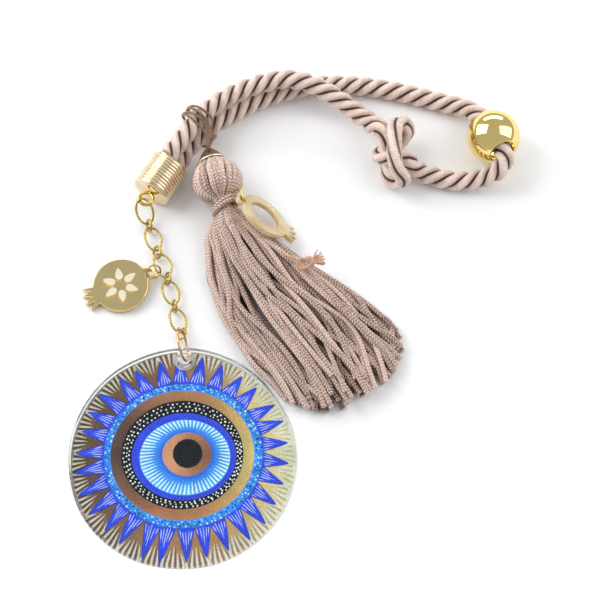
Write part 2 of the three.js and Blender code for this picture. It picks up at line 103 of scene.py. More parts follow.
def carried_frame(line, closed=False):
    """Side and up directions along a line that turn no more than the line does."""
    if closed:
        tangent = unit(np.roll(line, -1, 0) - np.roll(line, 1, 0))
    else:
        tangent = unit(np.gradient(line, axis=0))
    side = np.empty_like(tangent)
    current = np.cross(tangent[0], UP)
    if np.linalg.norm(current) < 0.1:
        current = np.cross(tangent[0], [1.0, 0, 0])
    for i, t in enumerate(tangent):
        current = unit(current - t * (current @ t))
        side[i] = current
    if closed:
        last = unit(current - tangent[0] * (current @ tangent[0]))
        left_over = math.atan2(np.cross(last, side[0]) @ tangent[0], last @ side[0])
        angle = (left_over * np.arange(len(line)) / len(line))[:, None]
        side = side * np.cos(angle) + np.cross(tangent, side) * np.sin(angle)
    return side, np.cross(tangent, side)


# How strongly a hollow in a tube's skin darkens its tint: painted shade in the hollows, and painted light on the
# ridges, that follow the relief.
RELIEF_SHADE = 3.0


class Form:
    """The vertices, faces, texture places and tints of one piece as it is built."""

    def __init__(self):
        self.vertices, self.faces, self.places, self.tints = [], [], [], []
        self.count = 0

    def add(self, vertices, faces, places, tint=0.5):
        """faces are rows of vertex numbers from 0, and places hold one (u, v) for each corner."""
        vertices = np.asarray(vertices, float).reshape(-1, 3)
        faces = np.asarray(faces, int)
        self.vertices.append(vertices)
        self.faces.extend((faces + self.count).tolist())
        self.places.append(np.asarray(places, float).reshape(-1, 2))
        self.tints.append(np.broadcast_to(np.ravel(tint), (len(vertices),)))
        self.count += len(vertices)

    def sweep(self, centres, first, second, r1, r2, sides, closed=False, tint=0.5):
        """A skin of oval sections: r1 along `first` and r2 along `second`."""
        n = len(centres)
        angle = TURN * np.arange(sides) / sides
        out = (np.broadcast_to(r1, (n, sides)) * np.cos(angle))[..., None] * first[:, None, :]
        out = out + (np.broadcast_to(r2, (n, sides)) * np.sin(angle))[..., None] * second[:, None, :]
        skin = centres[:, None, :] + out
        i = np.arange(n if closed else n - 1)[:, None]
        k = np.arange(sides)[None, :]
        j, m = (i + 1) % n, (k + 1) % sides
        quads = np.stack([i * sides + k, i * sides + m, j * sides + m, j * sides + k], -1).reshape(-1, 4)
        run = distances(np.vstack([centres, centres[:1]]))
        u0, u1 = run[i] + 0 * k, run[i + 1] + 0 * k
        v0, v1 = k / sides + 0 * i, (k + 1) / sides + 0 * i
        places = np.stack([u0, v0, u0, v1, u1, v1, u1, v0], -1)
        self.add(skin, quads, places, tint)
        if not closed:
            self.cap(skin[0], centres[0], True, np.mean(tint))
            self.cap(skin[-1], centres[-1], False, np.mean(tint))

    def cap(self, ring, centre, start, tint):
        """The round end of a tube, at its start or its far end."""
        k = np.arange(len(ring))
        m = (k + 1) % len(ring)
        hub = np.full(len(ring), len(ring))
        faces = np.stack([hub, m, k] if start else [hub, k, m], -1)
        self.add(np.vstack([ring, centre]), faces, np.full((len(ring), 3, 2), 0.125), tint)

    def tube(self, line, radius, sides, closed=False, tint=0.5, relief=None):
        """A round tube; relief(run, angle) gives a factor on its radius, and tints its hollows darker and its
        ridges lighter as painted shade and light.
        """
        side, up = carried_frame(line, closed)
        angle = TURN * np.arange(sides)[None, :] / sides
        run = distances(line)[:, None]
        r = np.broadcast_to(np.asarray(radius, float).reshape(-1, 1), (len(line), sides))
        if relief:
            raised = relief(run, angle)
            r = r * raised
            # Painted shade and light: the tint is lowered in the hollows and raised on the ridges.
            tint = tint + (raised - 1) * RELIEF_SHADE
        self.sweep(line, side, up, r, r, sides, closed, tint)

    def lathe(self, origin, axis, profile, segments, tint=0.5):
        """A closed profile of (radius, height) pairs, turned about an axis."""
        axis = unit(axis)
        reference = UP if abs(axis[2]) < 0.9 else np.array([1.0, 0, 0])
        x = unit(np.cross(reference, axis))
        y = np.cross(axis, x)
        profile = np.asarray(profile, float)
        n = len(profile)
        angle = TURN * np.arange(segments)[:, None] / segments
        spoke = np.cos(angle) * x + np.sin(angle) * y
        skin = origin + profile[None, :, :1] * spoke[:, None, :] + profile[None, :, 1:] * axis
        k = np.arange(segments)[:, None]
        i = np.arange(n)[None, :]
        m, j = (k + 1) % segments, (i + 1) % n
        quads = np.stack([k * n + i, m * n + i, m * n + j, k * n + j], -1).reshape(-1, 4)
        run = distances(np.vstack([profile, profile[:1]]))
        v0, v1 = k / segments + 0 * i, (k + 1) / segments + 0 * i
        u0, u1 = run[i] + 0 * k, run[i + 1] + 0 * k
        self.add(skin, quads, np.stack([u0, v0, u0, v1, u1, v1, u1, v0], -1), tint)

    def plate(self, frame_of_plate, loops, thickness, rounding=0.3, steps=3):
        """A flat plate with rounded edges.  loops are flat outlines, the outer one first and
        anticlockwise, the holes after it and clockwise; its middle plane is at height 0."""
        origin, x, y, z = frame_of_plate
        levels = []
        for i in range(steps + 1):
            angle = math.pi / 2 * i / steps
            inset = rounding * (1 - math.sin(angle))
            levels.append((inset, thickness / 2 - rounding * (1 - math.cos(angle))))
        heights = [(inset, h) for inset, h in levels] + [(inset, -h) for inset, h in reversed(levels)]
        rings = [[inset_loop(loop, inset) for loop in loops] for inset, _ in heights]
        for number, loop in enumerate(loops):
            n = len(loop)
            flat = np.vstack([rings[level][number] for level in range(len(heights))])
            height = np.repeat([h for _, h in heights], n)[:, None]
            skin = origin + flat[:, :1] * x + flat[:, 1:] * y + height * z
            i = np.arange(len(heights) - 1)[:, None]
            k = np.arange(n)[None, :]
            m = (k + 1) % n
            quads = np.stack([i * n + k, (i + 1) * n + k, (i + 1) * n + m, i * n + m], -1).reshape(-1, 4)
            self.add(skin, quads, flat[quads.ravel()])
        for level, flip in ((0, False), (len(heights) - 1, True)):
            flat = np.vstack(rings[level])
            triangles = tessellate_polygon([[(px, py, 0) for px, py in ring] for ring in rings[level]])
            triangles = [facing(triangle, flat, flip) for triangle in triangles]
            skin = origin + flat[:, :1] * x + flat[:, 1:] * y + heights[level][1] * z
            self.add(skin, triangles, flat[np.ravel(triangles)])


def facing(triangle, flat, flip):
    """A triangle's corners in anticlockwise order, or clockwise where flip is true."""
    a, b, c = (flat[i] for i in triangle)
    area = (b[0] - a[0]) * (c[1] - a[1]) - (b[1] - a[1]) * (c[0] - a[0])
    return triangle if (area > 0) != flip else tuple(reversed(triangle))


def inset_loop(loop, inset):
    """A loop moved towards the plate's material by `inset`."""
    loop = np.asarray(loop, float)
    along = unit(np.roll(loop, -1, 0) - np.roll(loop, 1, 0))
    return loop + inset * np.column_stack([-along[:, 1], along[:, 0]])


def make(name, form, material, body, replaces=(), sharp=None):
    """Makes the Blender object of a form and hands it to its body."""
    mesh = bpy.data.meshes.new(name)
    mesh.from_pydata((np.vstack(form.vertices) * MM).tolist(), [], form.faces)
    layer = mesh.uv_layers.new(name="UVMap")
    layer.data.foreach_set("uv", np.vstack(form.places).astype(np.float32).ravel())
    tint = mesh.attributes.new("tint", "FLOAT", "POINT")
    tint.data.foreach_set("value", np.concatenate(form.tints).astype(np.float32))
    mesh.polygons.foreach_set("use_smooth", [True] * len(mesh.polygons))
    if sharp:
        mesh.set_sharp_from_angle(angle=math.radians(sharp))
    mesh.materials.append(material)
    piece = bpy.data.objects.new(name, mesh)
    bpy.context.scene.collection.objects.link(piece)
    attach(piece, body)
    if replaces:
        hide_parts(*replaces)
    return piece


def axes_of(node):
    """Middle, long, wide and normal directions of a ring-shaped CAD node, in millimetres."""
    corners = np.array([v.co for v in frame["nodes"][node].data.vertices], float) / MM
    middle = corners.mean(0)
    spread = corners - middle
    _, directions = np.linalg.eigh(spread.T @ spread)
    normal, long = directions[:, 0], directions[:, 2]
    return middle, long, np.cross(normal, long), normal


def joint_at(name):
    """Where a joint's axis passes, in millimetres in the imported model's frame."""
    joint = next(j for j in frame["joints"] if j["name"] == name)
    return np.array(joint["pos_m"], float) / MM


# ---------------------------------------------------------------- shader helpers
def add_node(tree, kind, inputs=None, **settings):
    """A shader node; each of its inputs is a socket to link or a constant."""
    node = tree.nodes.new(kind)
    for key, value in settings.items():
        setattr(node, key, value)
    for key, value in (inputs or {}).items():
        if isinstance(value, bpy.types.NodeSocket):
            tree.links.new(value, node.inputs[key])
        else:
            node.inputs[key].default_value = value
    return node


def maths(tree, operation, a, b=0.0):
    """One step of arithmetic on sockets or constants."""
    return add_node(tree, "ShaderNodeMath", {0: a, 1: b}, operation=operation).outputs[0]


def between(tree, factor, a, b):
    """A mix of two colours; each is a socket or a constant."""
    full = [(*c, 1.0) if isinstance(c, tuple) and len(c) == 3 else c for c in (a, b)]
    node = add_node(tree, "ShaderNodeMix", {0: factor, 6: full[0], 7: full[1]}, data_type="RGBA")
    return node.outputs[2]


def ranged(tree, value, low, high, to_low, to_high):
    """value from low..high carried to to_low..to_high, and held there outside it."""
    inputs = {0: value, 1: low, 2: high, 3: to_low, 4: to_high}
    return add_node(tree, "ShaderNodeMapRange", inputs).outputs[0]


def new_group(name, inputs, outputs):
    """A node group with named sockets: (name, kind, default) in, (name, kind) out."""
    group = bpy.data.node_groups.new(name, "ShaderNodeTree")
    for label, kind, default in inputs:
        socket = group.interface.new_socket(label, in_out="INPUT", socket_type="NodeSocket" + kind)
        socket.default_value = default
    for label, kind in outputs:
        group.interface.new_socket(label, in_out="OUTPUT", socket_type="NodeSocket" + kind)
    return group, group.nodes.new("NodeGroupInput").outputs, group.nodes.new("NodeGroupOutput").inputs


def place_group(tree, group, **values):
    """A group placed in a material with its own values."""
    node = tree.nodes.new("ShaderNodeGroup")
    node.node_tree = group
    for key, value in values.items():
        node.inputs[key.replace("_", " ")].default_value = value
    return node


def new_material(name, **sockets):
    """A material whose Principled BSDF has these constants on its own sockets."""
    material = bpy.data.materials.new(name)
    material.use_nodes = True
    tree = material.node_tree
    shader = tree.nodes["Principled BSDF"]
    for key, value in sockets.items():
        label = key.replace("_", " ")
        shader.inputs[label].default_value = (*value, 1.0) if isinstance(value, tuple) else value
    return material, tree, shader


def noise(tree, place, scale, detail):
    """A cloudy value, mostly 0.3 to 0.7."""
    inputs = {"Vector": place, "Scale": scale, "Detail": detail}
    return add_node(tree, "ShaderNodeTexNoise", inputs).outputs[0]


def cloud(tree, scale, detail):
    """A noise that is fixed to the object's own space."""
    return noise(tree, add_node(tree, "ShaderNodeTexCoord").outputs["Object"], scale, detail)


def bump(tree, shader, height, distance):
    """Relief from a height, `distance` millimetres deep."""
    node = add_node(tree, "ShaderNodeBump", {"Height": height, "Distance": distance * MM})
    tree.links.new(node.outputs["Normal"], shader.inputs["Normal"])


def tube_places(group):
    """Places on a tube's skin: millimetres along it, share of a turn round it, and that as an angle."""
    uv = add_node(group, "ShaderNodeUVMap", uv_map="UVMap").outputs[0]
    along, around = add_node(group, "ShaderNodeSeparateXYZ", {0: uv}).outputs[:2]
    return along, around, maths(group, "MULTIPLY", around, TURN)


def stretched(group, along, around):
    """A place for a noise that is drawn out along the tube or round it."""
    return add_node(group, "ShaderNodeCombineXYZ", {0: along, 1: around}).outputs[0]


def thread_group():
    """Fine threads wound round a ply: bands along u, with a slow change of colour, a painted highlight on the side
    at angle 0 round the skin, and painted shade in the Groove colour on the far side.
    """
    group, given, result = new_group(
        "wound_thread",
        [("Pitch", "Float", 0.5), ("Light", "Color", (1, 1, 1, 1)), ("Dark", "Color", (0, 0, 0, 1)),
         ("Groove", "Color", (0, 0, 0, 1)), ("Groove Depth", "Float", 0.0)],
        [("Color", "Color"), ("Height", "Float")],
    )
    along, around, angle = tube_places(group)
    slant = maths(group, "MULTIPLY", maths(group, "SINE", angle), 0.12)
    turns = maths(group, "DIVIDE", maths(group, "ADD", along, slant), given["Pitch"])
    band = ranged(group, maths(group, "SINE", maths(group, "MULTIPLY", turns, TURN)), -1.0, 1.0, 0.0, 1.0)
    slow_place = stretched(group, maths(group, "MULTIPLY", along, 0.35), around)
    slow = ranged(group, noise(group, slow_place, 1.6, 4.0), 0.3, 0.7, 0.0, 0.6)
    shade = maths(group, "ADD", maths(group, "MULTIPLY", band, 0.5), slow)
    # Painted highlight: lighter where the skin faces angle 0 (out from the rope, on its plies), a little darker
    # elsewhere.
    facing_out = maths(group, "COSINE", angle)
    shade = maths(group, "ADD", shade, ranged(group, facing_out, 0.55, 1.0, -0.1, 0.3))
    # Painted shade: on the far side, between the plies, the colour is mixed towards the Groove colour by the
    # Groove Depth.
    hollow = ranged(group, facing_out, -0.2, 0.22, 1.0, 0.0)
    groove_shade = maths(group, "MULTIPLY", hollow, given["Groove Depth"])
    thread = between(group, shade, given["Dark"], given["Light"])
    group.links.new(between(group, groove_shade, thread, given["Groove"]), result["Color"])
    group.links.new(band, result["Height"])
    return group


# A braided cord's stitches: columns round the cord, and how far each column's stitches lean, as a
# share of a stitch.
STITCH_COLUMNS = 4.0
STITCH_SLANT = 0.7
BRAID_PITCH = 1.15


def braid_group():
    """A braided cord: slanting stitches in columns round it, in two colours, flecked; the stitches are lighter on
    their crowns and darker in their hollows and seams as painted shade, and the tint attribute adds painted shade
    too.
    """
    group, given, result = new_group(
        "braided_yarn",
        [("Pitch", "Float", 1.5), ("Light", "Color", (1, 1, 1, 1)), ("Dark", "Color", (0, 0, 0, 1))],
        [("Color", "Color"), ("Height", "Float")],
    )
    along, around, _ = tube_places(group)
    tint = add_node(group, "ShaderNodeAttribute", attribute_name="tint").outputs["Fac"]
    column = maths(group, "PINGPONG", maths(group, "MULTIPLY", around, STITCH_COLUMNS), 1.0)
    slant = maths(group, "MULTIPLY", column, STITCH_SLANT)
    turns = maths(group, "ADD", maths(group, "DIVIDE", along, given["Pitch"]), slant)
    stitch = maths(group, "SINE", maths(group, "MULTIPLY", turns, TURN))
    off_middle = maths(group, "ABSOLUTE", maths(group, "SUBTRACT", column, 0.5))
    seam = ranged(group, off_middle, 0.3, 0.5, 1.0, 0.0)
    # Painted shade: each stitch is lighter on its crown and darker in its hollows and at the seams between
    # columns, as its relief is.
    weave = maths(group, "MULTIPLY", ranged(group, stitch, -0.7, 0.7, 0.0, 1.0), seam)
    speck = noise(group, stretched(group, along, maths(group, "MULTIPLY", around, 5.0)), 1.7, 2.0)
    fleck = ranged(group, speck, 0.38, 0.62, 0.0, 1.0)
    woven = maths(group, "MULTIPLY", weave, 0.8)
    flecked = maths(group, "MULTIPLY", fleck, 0.55)
    shade = maths(group, "MULTIPLY", maths(group, "ADD", woven, flecked), 0.72)
    # The tint attribute shifts each cord lighter or darker: its own random tone, and painted shade from the
    # relief's hollows, the skirt's lower layers and the head's core.
    tone_and_painted_shade = maths(group, "MULTIPLY", maths(group, "SUBTRACT", tint, 0.5), 0.8)
    shade = maths(group, "ADD", shade, tone_and_painted_shade)
    group.links.new(between(group, shade, given["Dark"], given["Light"]), result["Color"])
    group.links.new(maths(group, "ADD", weave, maths(group, "MULTIPLY", fleck, 0.3)), result["Height"])
    return group


def metal_group():
    """Plated metal: faint tarnish in clouds, fine rubbing marks in the gloss, and painted shade in the Tarnish
    colour where the tint marks a hollow, by the Groove amount.
    """
    group, given, result = new_group(
        "plated_metal",
        [("Plate", "Color", (1, 1, 1, 1)), ("Tarnish", "Color", (0, 0, 0, 1)), ("Amount", "Float", 0.3),
         ("Gloss", "Float", 0.1), ("Dull", "Float", 0.25), ("Scale", "Float", 300.0),
         ("Groove", "Float", 0.0)],
        [("Color", "Color"), ("Roughness", "Float"), ("Height", "Float")],
    )
    marks = cloud(group, maths(group, "MULTIPLY", given["Scale"], 9.0), 2.0)
    dim = ranged(group, cloud(group, given["Scale"], 5.0), 0.4, 0.7, 0.0, 1.0)
    tarnish_and_groove_shade = maths(group, "MULTIPLY", dim, given["Amount"])
    tint = add_node(group, "ShaderNodeAttribute", attribute_name="tint").outputs["Fac"]
    # Painted shade: where the tint marks a hollow, such as between the chain's facets, the plate is mixed towards
    # the Tarnish colour.
    hollow = maths(group, "MULTIPLY", ranged(group, tint, 0.2, 0.75, 1.0, 0.0), given["Groove"])
    tarnish_and_groove_shade = maths(group, "MAXIMUM", tarnish_and_groove_shade, hollow)
    group.links.new(between(group, tarnish_and_groove_shade, given["Plate"], given["Tarnish"]), result["Color"])
    group.links.new(ranged(group, marks, 0.3, 0.75, given["Gloss"], given["Dull"]), result["Roughness"])
    group.links.new(marks, result["Height"])
    return group


THREAD = thread_group()
BRAID = braid_group()
METAL = metal_group()


def rgba(colour):
    """A colour with full alpha, as a socket takes it."""
    return (*colour, 1.0)


def cord_material(name, group, pitch, light, dark, relief, roughness=0.6, sheen=0.3, **more):
    """A textile with its yarns from one of the shared groups."""
    material, tree, shader = new_material(
        name, Roughness=roughness, Sheen_Weight=sheen, Sheen_Roughness=0.4
    )
    node = place_group(tree, group, Pitch=pitch, Light=rgba(light), Dark=rgba(dark), **more)
    tree.links.new(node.outputs["Color"], shader.inputs["Base Color"])
    bump(tree, shader, node.outputs["Height"], relief)
    return material


def metal_material(
    name, plate, tarnish, amount=0.25, gloss=0.08, dull=0.2, scale=300.0, relief=0.004, groove_shade=0.0
):
    """A plated metal from the shared group."""
    material, tree, shader = new_material(name, Metallic=1.0)
    node = place_group(
        tree, METAL, Plate=rgba(plate), Tarnish=rgba(tarnish), Amount=amount, Gloss=gloss, Dull=dull,
        Scale=scale, Groove=groove_shade,
    )
    tree.links.new(node.outputs["Color"], shader.inputs["Base Color"])
    tree.links.new(node.outputs["Roughness"], shader.inputs["Roughness"])
    bump(tree, shader, node.outputs["Height"], relief)
    return material


def glass_material():
    """Clear glass that lets light through to the print behind it."""
    material, tree, shader = new_material(
        "clear_glass", Base_Color=(0.97, 0.99, 0.985), Roughness=0.02, IOR=1.22, Transmission_Weight=1.0
    )
    bump(tree, shader, cloud(tree, 55.0, 1.0), 0.15)
    through = add_node(tree, "ShaderNodeBsdfTransparent", {"Color": (0.95, 0.97, 0.97, 1)})
    shadow = add_node(tree, "ShaderNodeLightPath").outputs["Is Shadow Ray"]
    mix = add_node(tree, "ShaderNodeMixShader", {0: shadow, 1: shader.outputs[0], 2: through.outputs[0]})
    tree.links.new(mix.outputs[0], tree.nodes["Material Output"].inputs["Surface"])
    return material


def print_material():
    """Ink colours from the mesh, with the grain of a hand-painted print."""
    material, tree, shader = new_material("eye_print", Roughness=0.6, Specular_IOR_Level=0.05)
    ink = add_node(tree, "ShaderNodeAttribute", attribute_name="ink").outputs["Color"]
    grain = ranged(tree, cloud(tree, 1500.0, 4.0), 0.3, 0.7, 0.6, 0.86)
    wash = ranged(tree, cloud(tree, 160.0, 3.0), 0.35, 0.65, -0.06, 0.06)
    value = maths(tree, "ADD", grain, wash)
    tone = add_node(tree, "ShaderNodeHueSaturation", {"Value": value, "Color": ink}).outputs[0]
    tree.links.new(tone, shader.inputs["Base Color"])
    return material


def film_material():
    """The pale back of the printed layer, slightly mottled."""
    material, tree, shader = new_material("film_back", Roughness=0.45)
    mottle = ranged(tree, cloud(tree, 90.0, 5.0), 0.35, 0.65, 0.0, 1.0)
    colour = between(tree, mottle, srgb(196, 200, 198), srgb(222, 224, 222))
    tree.links.new(colour, shader.inputs["Base Color"])
    return material


def acrylic_material():
    """Milky champagne acrylic with clearer, deeper patches."""
    material, tree, shader = new_material(
        "champagne_acrylic", Transmission_Weight=0.35, IOR=1.49, Subsurface_Weight=0.4,
        Subsurface_Scale=0.002,
    )
    milk = cloud(tree, 140.0, 3.0)
    depth = ranged(tree, milk, 0.35, 0.65, 0.0, 1.0)
    colour = between(tree, depth, srgb(226, 200, 144), srgb(242, 226, 186))
    tree.links.new(colour, shader.inputs["Base Color"])
    tree.links.new(ranged(tree, milk, 0.3, 0.7, 0.12, 0.3), shader.inputs["Roughness"])
    return material


# The satin rope's Groove colour and Groove Depth paint shade between its plies.
SATIN = cord_material(
    "satin_rope", THREAD, pitch=0.7, light=srgb(250, 226, 212), dark=srgb(190, 160, 147), relief=0.14,
    roughness=0.27, sheen=0.0, Groove=rgba(srgb(80, 58, 50)), Groove_Depth=0.9,
)
BROWN_CORD = cord_material(
    "brown_cord", THREAD, pitch=0.5, light=srgb(168, 134, 106), dark=srgb(104, 74, 54), relief=0.03
)
PEACH = cord_material(
    "peach_thread", THREAD, pitch=0.35, light=srgb(222, 184, 158), dark=srgb(184, 138, 108), relief=0.02,
    roughness=0.7,
)
BINDING = cord_material(
    "binding_thread", THREAD, pitch=0.4, light=srgb(206, 190, 172), dark=srgb(170, 150, 130), relief=0.03,
    roughness=0.7,
)
BRAIDED = cord_material(
    "braided_cord", BRAID, pitch=BRAID_PITCH, light=srgb(248, 219, 203), dark=srgb(92, 63, 52),
    relief=0.14, roughness=0.7, sheen=0.1,
)
ROSE_GOLD = metal_material("rose_gold", plate=srgb(232, 184, 140), tarnish=srgb(170, 110, 70))
# The chain's high Groove setting paints shade in the hollows between its facets, in its tarnish colour.
CHAIN_GOLD = metal_material(
    "chain_gold", plate=srgb(250, 220, 118), tarnish=srgb(66, 52, 14), amount=0.35, groove_shade=0.95
)
EYELET_GOLD = metal_material(
    "eyelet_gold", plate=srgb(226, 194, 98), tarnish=srgb(100, 78, 24), amount=0.6, gloss=0.1, dull=0.26
)
PALE_GOLD = metal_material(
    "pale_gold", plate=srgb(238, 218, 184), tarnish=srgb(206, 168, 112), amount=0.3, gloss=0.12, dull=0.24
)
BEAD_GOLD = metal_material(
    "bead_gold", plate=srgb(248, 222, 142), tarnish=srgb(236, 200, 108), gloss=0.03, dull=0.07,
    scale=120.0, relief=0.0006,
)
ANTIQUE = metal_material(
    "antique_gold", plate=srgb(186, 156, 104), tarnish=srgb(60, 44, 22), amount=0.9, gloss=0.2, dull=0.42,
    scale=700.0, relief=0.03,
)
BRIGHT_RIM = metal_material(
    "bright_rim", plate=srgb(244, 236, 214), tarnish=srgb(206, 184, 140), amount=0.2, gloss=0.06, dull=0.16
)
MIRROR = metal_material(
    "mirror_face", plate=srgb(236, 214, 156), tarnish=srgb(214, 190, 130), amount=0.3, gloss=0.04,
    dull=0.1, scale=90.0, relief=0.0006,
)
EDGE_GOLD = metal_material(
    "edge_gold", plate=srgb(236, 204, 120), tarnish=srgb(176, 130, 50), amount=0.4, gloss=0.06, dull=0.16
)
FROSTED = metal_material(
    "frosted_mark", plate=srgb(216, 205, 186), tarnish=srgb(196, 182, 156), amount=0.3, gloss=0.45, dull=0.6
)
# The shaded mark is a painted shadow under the frosted seeds.
SHADED_MARK = metal_material(
    "shaded_mark", plate=srgb(206, 172, 84), tarnish=srgb(176, 140, 56), amount=0.3, gloss=0.2, dull=0.4
)
GLASS = glass_material()
PRINT = print_material()
FILM = film_material()
ACRYLIC = acrylic_material()

# ---------------------------------------------------------------- camera, floor and light
# Where the camera stands, how far it is tipped from straight down in degrees, and its lens.
CAMERA_AT = (39.95, -233.37, 634.42)
CAMERA_TILT = 25.0
CAMERA_LENS = 115.2


def make_camera():
    """A long lens above the object's near side, tipped a little from straight down."""
    data = bpy.data.cameras.new("camera")
    data.sensor_width = 36.0
    data.lens = CAMERA_LENS
    camera = bpy.data.objects.new("camera", data)
    camera.location = in_model(CAMERA_AT) * MM
    camera.rotation_euler = (math.radians(CAMERA_TILT), 0, 0)
    bpy.context.scene.collection.objects.link(camera)
    bpy.context.scene.camera = camera


FLOOR_HALF = 3.0
FLOOR_DROP = 0.0001


def make_floor():
    """A pale paper floor, a tenth of a millimetre below the plane that the object lies on."""
    mesh = bpy.data.meshes.new("floor")
    corners = [(x * FLOOR_HALF, y * FLOOR_HALF, 0) for x, y in ((-1, -1), (1, -1), (1, 1), (-1, 1))]
    mesh.from_pydata(corners, [], [(0, 1, 2, 3)])
    material, tree, shader = new_material("floor_paper", Roughness=0.7)
    paper = between(tree, cloud(tree, 6.0, 2.0), srgb(244, 244, 244), srgb(248, 248, 248))
    tree.links.new(paper, shader.inputs["Base Color"])
    mesh.materials.append(material)
    floor = bpy.data.objects.new("floor", mesh)
    floor.location.z = -FLOOR_DROP
    bpy.context.scene.collection.objects.link(floor)


def soft_box(name, at, aim, size, power):
    """A wide soft light at one place, turned towards another; places and sizes are metres."""
    data = bpy.data.lights.new(name, "AREA")
    data.shape = "RECTANGLE"
    data.size, data.size_y = size
    data.energy = power
    light = bpy.data.objects.new(name, data)
    light.location = at
    direction = np.array(aim) - np.array(at)
    light.rotation_euler = (
        math.atan2(math.hypot(direction[0], direction[1]), -direction[2]),
        0,
        math.atan2(direction[0], -direction[1]) + math.pi,
    )
    bpy.context.scene.collection.objects.link(light)


def make_light():
    """A bright surround, a key on the left, a fill on the right and a low light from behind."""
    world = bpy.data.worlds.new("studio")
    world.use_nodes = True
    background = world.node_tree.nodes["Background"]
    background.inputs["Color"].default_value = (0.93, 0.96, 1.0, 1)
    background.inputs["Strength"].default_value = 0.56
    bpy.context.scene.world = world
    soft_box("key", at=(-0.72, 0.3, 0.6), aim=(0.0, 0.02, 0.0), size=(0.7, 0.9), power=7.5)
    soft_box("fill", at=(0.75, 0.1, 0.6), aim=(0.02, 0.02, 0.0), size=(0.6, 0.9), power=3.6)
    soft_box("back", at=(0.05, 1.05, 0.5), aim=(0.0, 0.05, 0.0), size=(1.2, 0.35), power=4.0)
    bpy.context.scene.view_settings.view_transform = "Standard"


make_camera()
make_floor()
make_light()

# ---------------------------------------------------------------- rope
LAY = 17.0
# The rope's middle line: from the cap through the bead to the knot, and from the cap back along
# the other side to the knot.
BEAD_RUN = [
    [-6.9, 114.7, 4.3], [-4.3, 119.3, 4.5], [-1.2, 124.6, 4.9], [3.4, 130.0, 5.1], [8.0, 133.9, 4.7],
    [13.8, 138.2, 4.0], [19.8, 142.1, 3.8], [26.2, 145.4, 3.8], [33.0, 148.1, 3.8], [41.5, 150.5, 3.8],
    [50.0, 151.5, 3.8], [58.0, 151.3, 3.8], [66.0, 150.5, 3.8], [75.0, 148.9, 3.8], [84.5, 146.4, 3.8],
    [93.0, 143.8, 3.9], [99.6, 141.6, 4.4], [105.2, 138.4, 5.8], [109.1, 133.0, 7.7], [112.2, 125.2, 10.0],
    [115.2, 117.6, 12.2], [115.6, 113.9, 11.6], [113.2, 111.2, 8.9], [109.0, 110.2, 6.0],
    [104.2, 109.6, 4.4], [99.2, 109.7, 3.8], [94.0, 110.4, 3.8], [89.0, 111.9, 3.8], [83.9, 113.9, 4.4],
]
KNOT_RUN = [
    [-8.9, 115.9, 11.9], [-5.6, 120.9, 12.0], [-2.0, 126.4, 12.0], [1.7, 131.9, 11.9], [6.8, 137.3, 11.3],
    [12.8, 142.0, 10.8], [19.9, 145.9, 10.6], [26.8, 148.2, 10.8], [33.4, 149.3, 11.5], [39.8, 148.6, 11.5],
    [45.8, 146.7, 10.6], [51.4, 144.0, 9.4], [56.4, 141.0, 8.0], [61.2, 137.4, 6.9], [66.6, 132.7, 7.2],
]
# The overhand knot, from the bead's side: in under the front turn, round the left, over the top
# turn's back, down behind, round the bottom, up the front and away.
KNOT = [
    [79.6, 116.6, 8.4], [74.6, 116.9, 9.4], [70.4, 118.2, 6.2], [70.0, 121.6, 3.9], [73.6, 124.6, 3.6],
    [78.2, 126.4, 4.6], [80.3, 128.9, 7.6], [78.2, 130.6, 10.8], [75.6, 127.4, 13.8], [74.7, 121.8, 15.2],
    [74.8, 115.6, 15.0], [75.9, 110.6, 12.8], [78.0, 108.4, 8.8], [76.6, 108.4, 5.0], [73.4, 111.4, 3.7],
    [72.6, 116.4, 4.0], [72.4, 121.4, 8.4], [70.6, 127.6, 9.8],
]
# A ply's middle from the rope's middle line, and its half sizes out from that line and round it.
PLIES = 3
PLY_AT = 1.95
PLY_OUT = 1.84
PLY_ROUND = 1.98
# In the knot the rope is drawn thinner and its lay opens, by these shares, over this length.
KNOT_THINNER = 0.17
KNOT_OPENER = 0.75
KNOT_EASE = 8.0


def rope_plies(line, in_knot):
    """Three satin plies laid left-handed round the line."""
    form = Form()
    side, up = carried_frame(line)
    rate = -TURN / LAY * (1 - KNOT_OPENER * in_knot)
    step = np.concatenate([[0], np.linalg.norm(np.diff(line, axis=0), axis=1)])
    squeeze = (1 - KNOT_THINNER * in_knot)[:, None]
    for ply in range(PLIES):
        turn = (np.cumsum(rate * step) + TURN * ply / PLIES)[:, None]
        out = np.cos(turn) * side + np.sin(turn) * up
        around = -np.sin(turn) * side + np.cos(turn) * up
        centres = line + out * (PLY_AT * squeeze)
        form.sweep(centres, out, around, PLY_OUT * squeeze, PLY_ROUND * squeeze, 20, tint=0.4 + 0.1 * ply)
    return form


def satin_rope(bead):
    """The one length of rope, from the cap through the bead and the knot and back to the cap."""
    route = in_model(BEAD_RUN + KNOT + KNOT_RUN[::-1])
    line = smooth(route, 0.6)
    run = distances(line)
    first, last = (run[np.argmin(np.linalg.norm(line - in_model(KNOT[i]), axis=1))] for i in (0, -1))
    in_knot = np.clip(np.minimum(run - first, last - run) / KNOT_EASE + 0.5, 0, 1)
    rope = make(
        "satin_rope", rope_plies(line, in_knot), SATIN, "cap_and_rope",
        replaces=("rope_bead_run", "rope_knot", "rope_knot_run"),
    )


BEAD_RADIUS = 10.0
BEAD_WALL = 1.0
BEAD_HOLE = 4.7
BEAD_AXIS = (0.355, -0.896, 0.262)


def half_round(radius, start, count):
    """(radius, height) pairs on a half circle, from `start` past one pole to as far before the other."""
    angles = np.linspace(start, math.pi - start, count)
    return [(radius * math.sin(a), radius * math.cos(a)) for a in angles]


